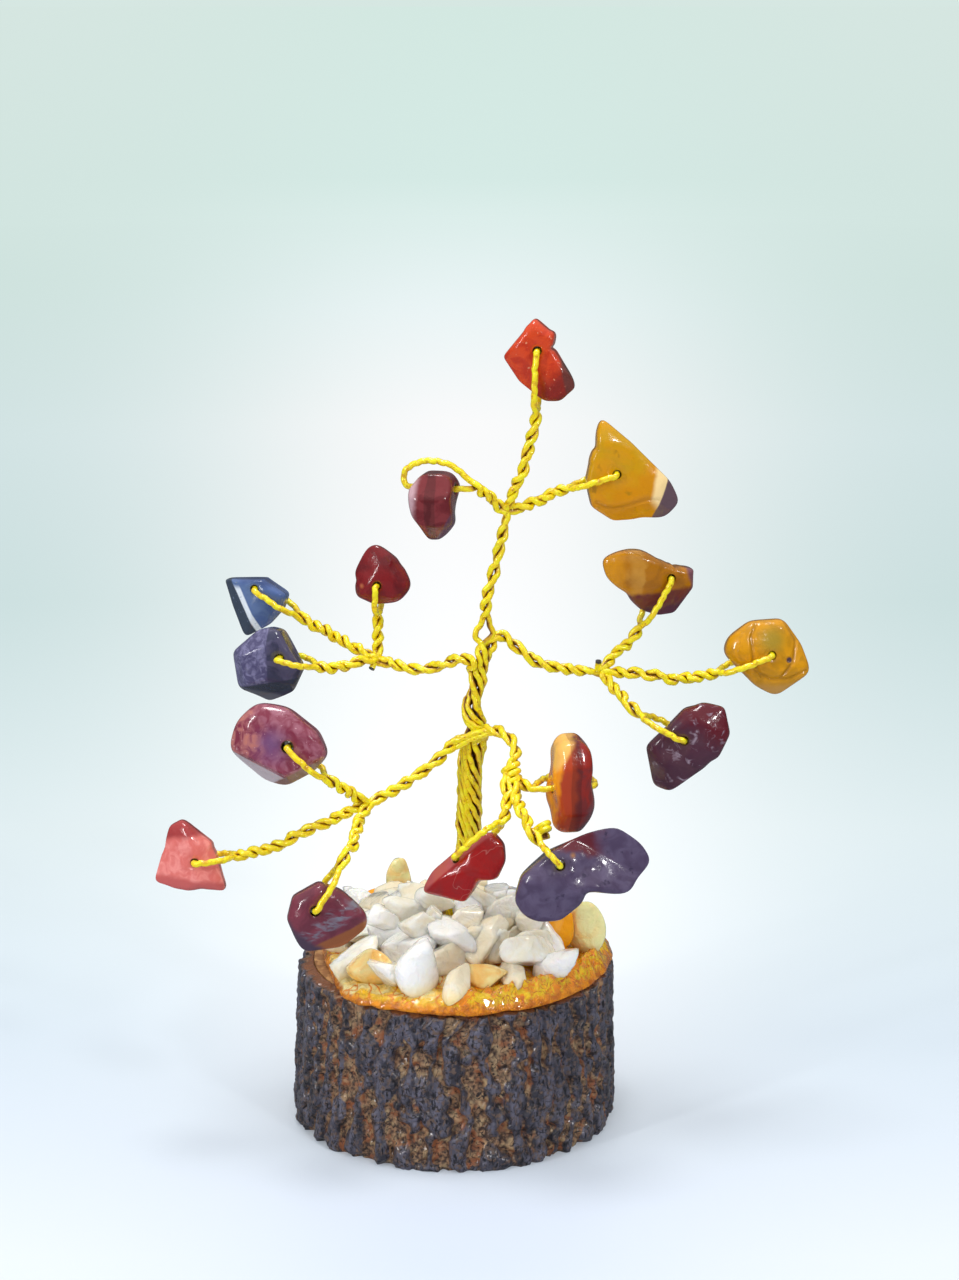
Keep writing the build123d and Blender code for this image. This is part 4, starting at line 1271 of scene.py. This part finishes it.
def make_floor():
    """Pale floor: aqua far off, a painted pool of white light behind the tree, a painted lavender shadow in
    front, at its own colour with a soft shadow. Slope is the glow's height over the distance from the floor's
    front, spread the width over it."""
    mesh = bpy.data.meshes.new("floor")
    half = floor_size / 2
    corners = [(-half, -half, 0), (half, -half, 0), (half, half, 0), (-half, half, 0)]
    mesh.from_pydata(corners, [], [(0, 1, 2, 3)])
    floor = Finish("pale_floor", roughness=0.35)
    x, y, _ = floor.add("ShaderNodeSeparateXYZ", {0: floor.where}).outputs
    away = floor.math("MAXIMUM", floor.math("ADD", y, floor_reach), floor_nearest)
    slope = floor.math("DIVIDE", floor_glow_height, away)
    spread = floor.math("POWER", floor.math("DIVIDE", floor.math("DIVIDE", x, away), glow_spread_share), 2.0)
    glow = floor.math("EXPONENT", floor.both(spread, -1.0))
    edges = floor.ramp(slope, (0.0, 214, 230, 225), (0.11, 208, 228, 223), (0.17, 212, 230, 230),
                       (0.235, 202, 222, 221), (0.33, 214, 226, 228), (0.42, 206, 217, 226),
                       (0.52, 222, 228, 238))
    # Painted shadow: the middle ramp falls to lavender at the steepest slopes, just in front of the base.
    middle = floor.ramp(slope, (0.0, 211, 232, 225), (0.07, 213, 234, 229), (0.12, 238, 248, 249),
                        (0.165, 255, 255, 255), (0.36, 250, 250, 250), (0.47, 220, 228, 238),
                        (0.52, 212, 221, 238))
    pale = floor.mix(glow, edges, middle)
    floor.link(pale, floor.shader, "Base Color")
    far = floor.steps(floor.vector("LENGTH", floor.where), floor_far_start, floor_far_end)
    own = floor.math("MAXIMUM", floor.fade(slope, 1.0, floor_own_light_share, *floor_lit_slopes), far)
    ray = floor.add("ShaderNodeLightPath").outputs
    lit = floor.math("MAXIMUM", floor.both(ray["Is Camera Ray"], own),
                    floor.math("MAXIMUM", ray["Is Glossy Ray"], ray["Is Transmission Ray"]))
    strength = floor.fade(ray["Is Glossy Ray"], 1.0, mirrored_floor_share)
    glowing = floor.add("ShaderNodeEmission", {"Color": pale, "Strength": strength}).outputs[0]
    mixed = floor.add("ShaderNodeMixShader", {0: lit, 1: floor.shader.outputs[0], 2: glowing}).outputs[0]
    floor.link(mixed, floor.tree.nodes["Material Output"], "Surface")
    mesh.materials.append(floor.material)
    placed("floor", mesh)


def make_sky():
    """Studio light from all round, brighter from above; the camera sees pale aqua."""
    world = bpy.data.worlds.new("studio")
    bpy.context.scene.world = world
    world.use_nodes = True
    sky = Nodes(world.node_tree)
    ways = sky.add("ShaderNodeTexCoord").outputs["Generated"]
    up = sky.add("ShaderNodeSeparateXYZ", {0: ways}).outputs[2]
    shaded = sky.tree.nodes["Background"]
    shaded.inputs["Color"].default_value = seen(248, 252, 255)
    sky.link(sky.fade(up, *sky_strengths, high=sky_bright_height_share), shaded, "Strength")
    shaded = shaded.outputs[0]
    strength = sky.fade(up, *mirrored_sky_strengths, high=sky_bright_height_share)
    mirrored = sky.add("ShaderNodeBackground", {"Strength": strength}).outputs[0]
    pale = sky.add("ShaderNodeBackground", {"Color": seen(214, 231, 226)}).outputs[0]
    ray = sky.add("ShaderNodeLightPath").outputs
    for kind, light in (("Is Glossy Ray", mirrored), ("Is Camera Ray", pale), ("Is Transmission Ray", pale)):
        shaded = sky.add("ShaderNodeMixShader", {0: ray[kind], 1: shaded, 2: light}).outputs[0]
    sky.link(shaded, sky.tree.nodes["World Output"], "Surface")


def make_lamp(name, place_shares, width_share, height_share, power):
    lamp = bpy.data.lights.new(name, "AREA")
    lamp.shape = "RECTANGLE"
    lamp.size = width_share * lamp_reach
    lamp.size_y = height_share * lamp_reach
    lamp.energy = power
    holder = placed(name, lamp)
    holder.location = Vector(place_shares) * lamp_reach
    aim = Vector((0, 0, tree_height / 2)) - holder.location
    holder.rotation_euler = aim.to_track_quat("-Z", "Y").to_euler()


def make_camera():
    lens = bpy.data.cameras.new("camera")
    lens.sensor_width = film_millimetres
    lens.lens = film_millimetres * camera_focal_pixels / picture_height_pixels
    lens.clip_start = camera_near
    camera = placed("camera", lens)
    camera.location = camera_place
    camera.rotation_euler = (radians(90 - camera_pitch_degrees), 0, 0)
    bpy.context.scene.camera = camera


# Making

seats = {stone.name: chip_seat(stone) for stone in stones}
wire_pieces = {}
for branch in branch_routes_shares:
    lay_wire(folded_wire(branch, seats), wire_pieces)
for node, (place, direction) in clipped_end_shares.items():
    clipped_end(place, direction, wire_pieces[node])
for start, end, turns in coil_shares:
    wound_coil(start, end, turns, wire_pieces["branch_low_right"])
for rise_share in crossing_rise_shares:
    crossing_strand(rise_share, wire_pieces["branch_low_left"])
wire = wire_finish()
for node, piece in wire_pieces.items():
    piece.make(node + "_wire", wire, "tree", "brass_wire", node)
for stone in stones:
    make_chip(stone, seats[stone.name][0])

make_bark(bark_finish())
frame["nodes"]["log_core"].data.materials[0] = wood_finish()
make_glue(glue_finish())
quartz = quartz_finish("clear_quartz", (244, 230, 200), (255, 252, 246), (255, 216, 128))
for name in ("quartz_rim", "quartz_middle", "quartz_crest"):
    make_quartz(name, quartz, "clear_quartz")
citrine = quartz_finish("citrine", (255, 240, 176), (255, 168, 16), (255, 184, 50))
make_quartz("citrine", citrine, "citrine")

make_floor()
make_sky()
for name, lamp in lamp_shares.items():
    make_lamp(name, *lamp)
make_camera()
bpy.context.scene.view_settings.view_transform = "Standard"
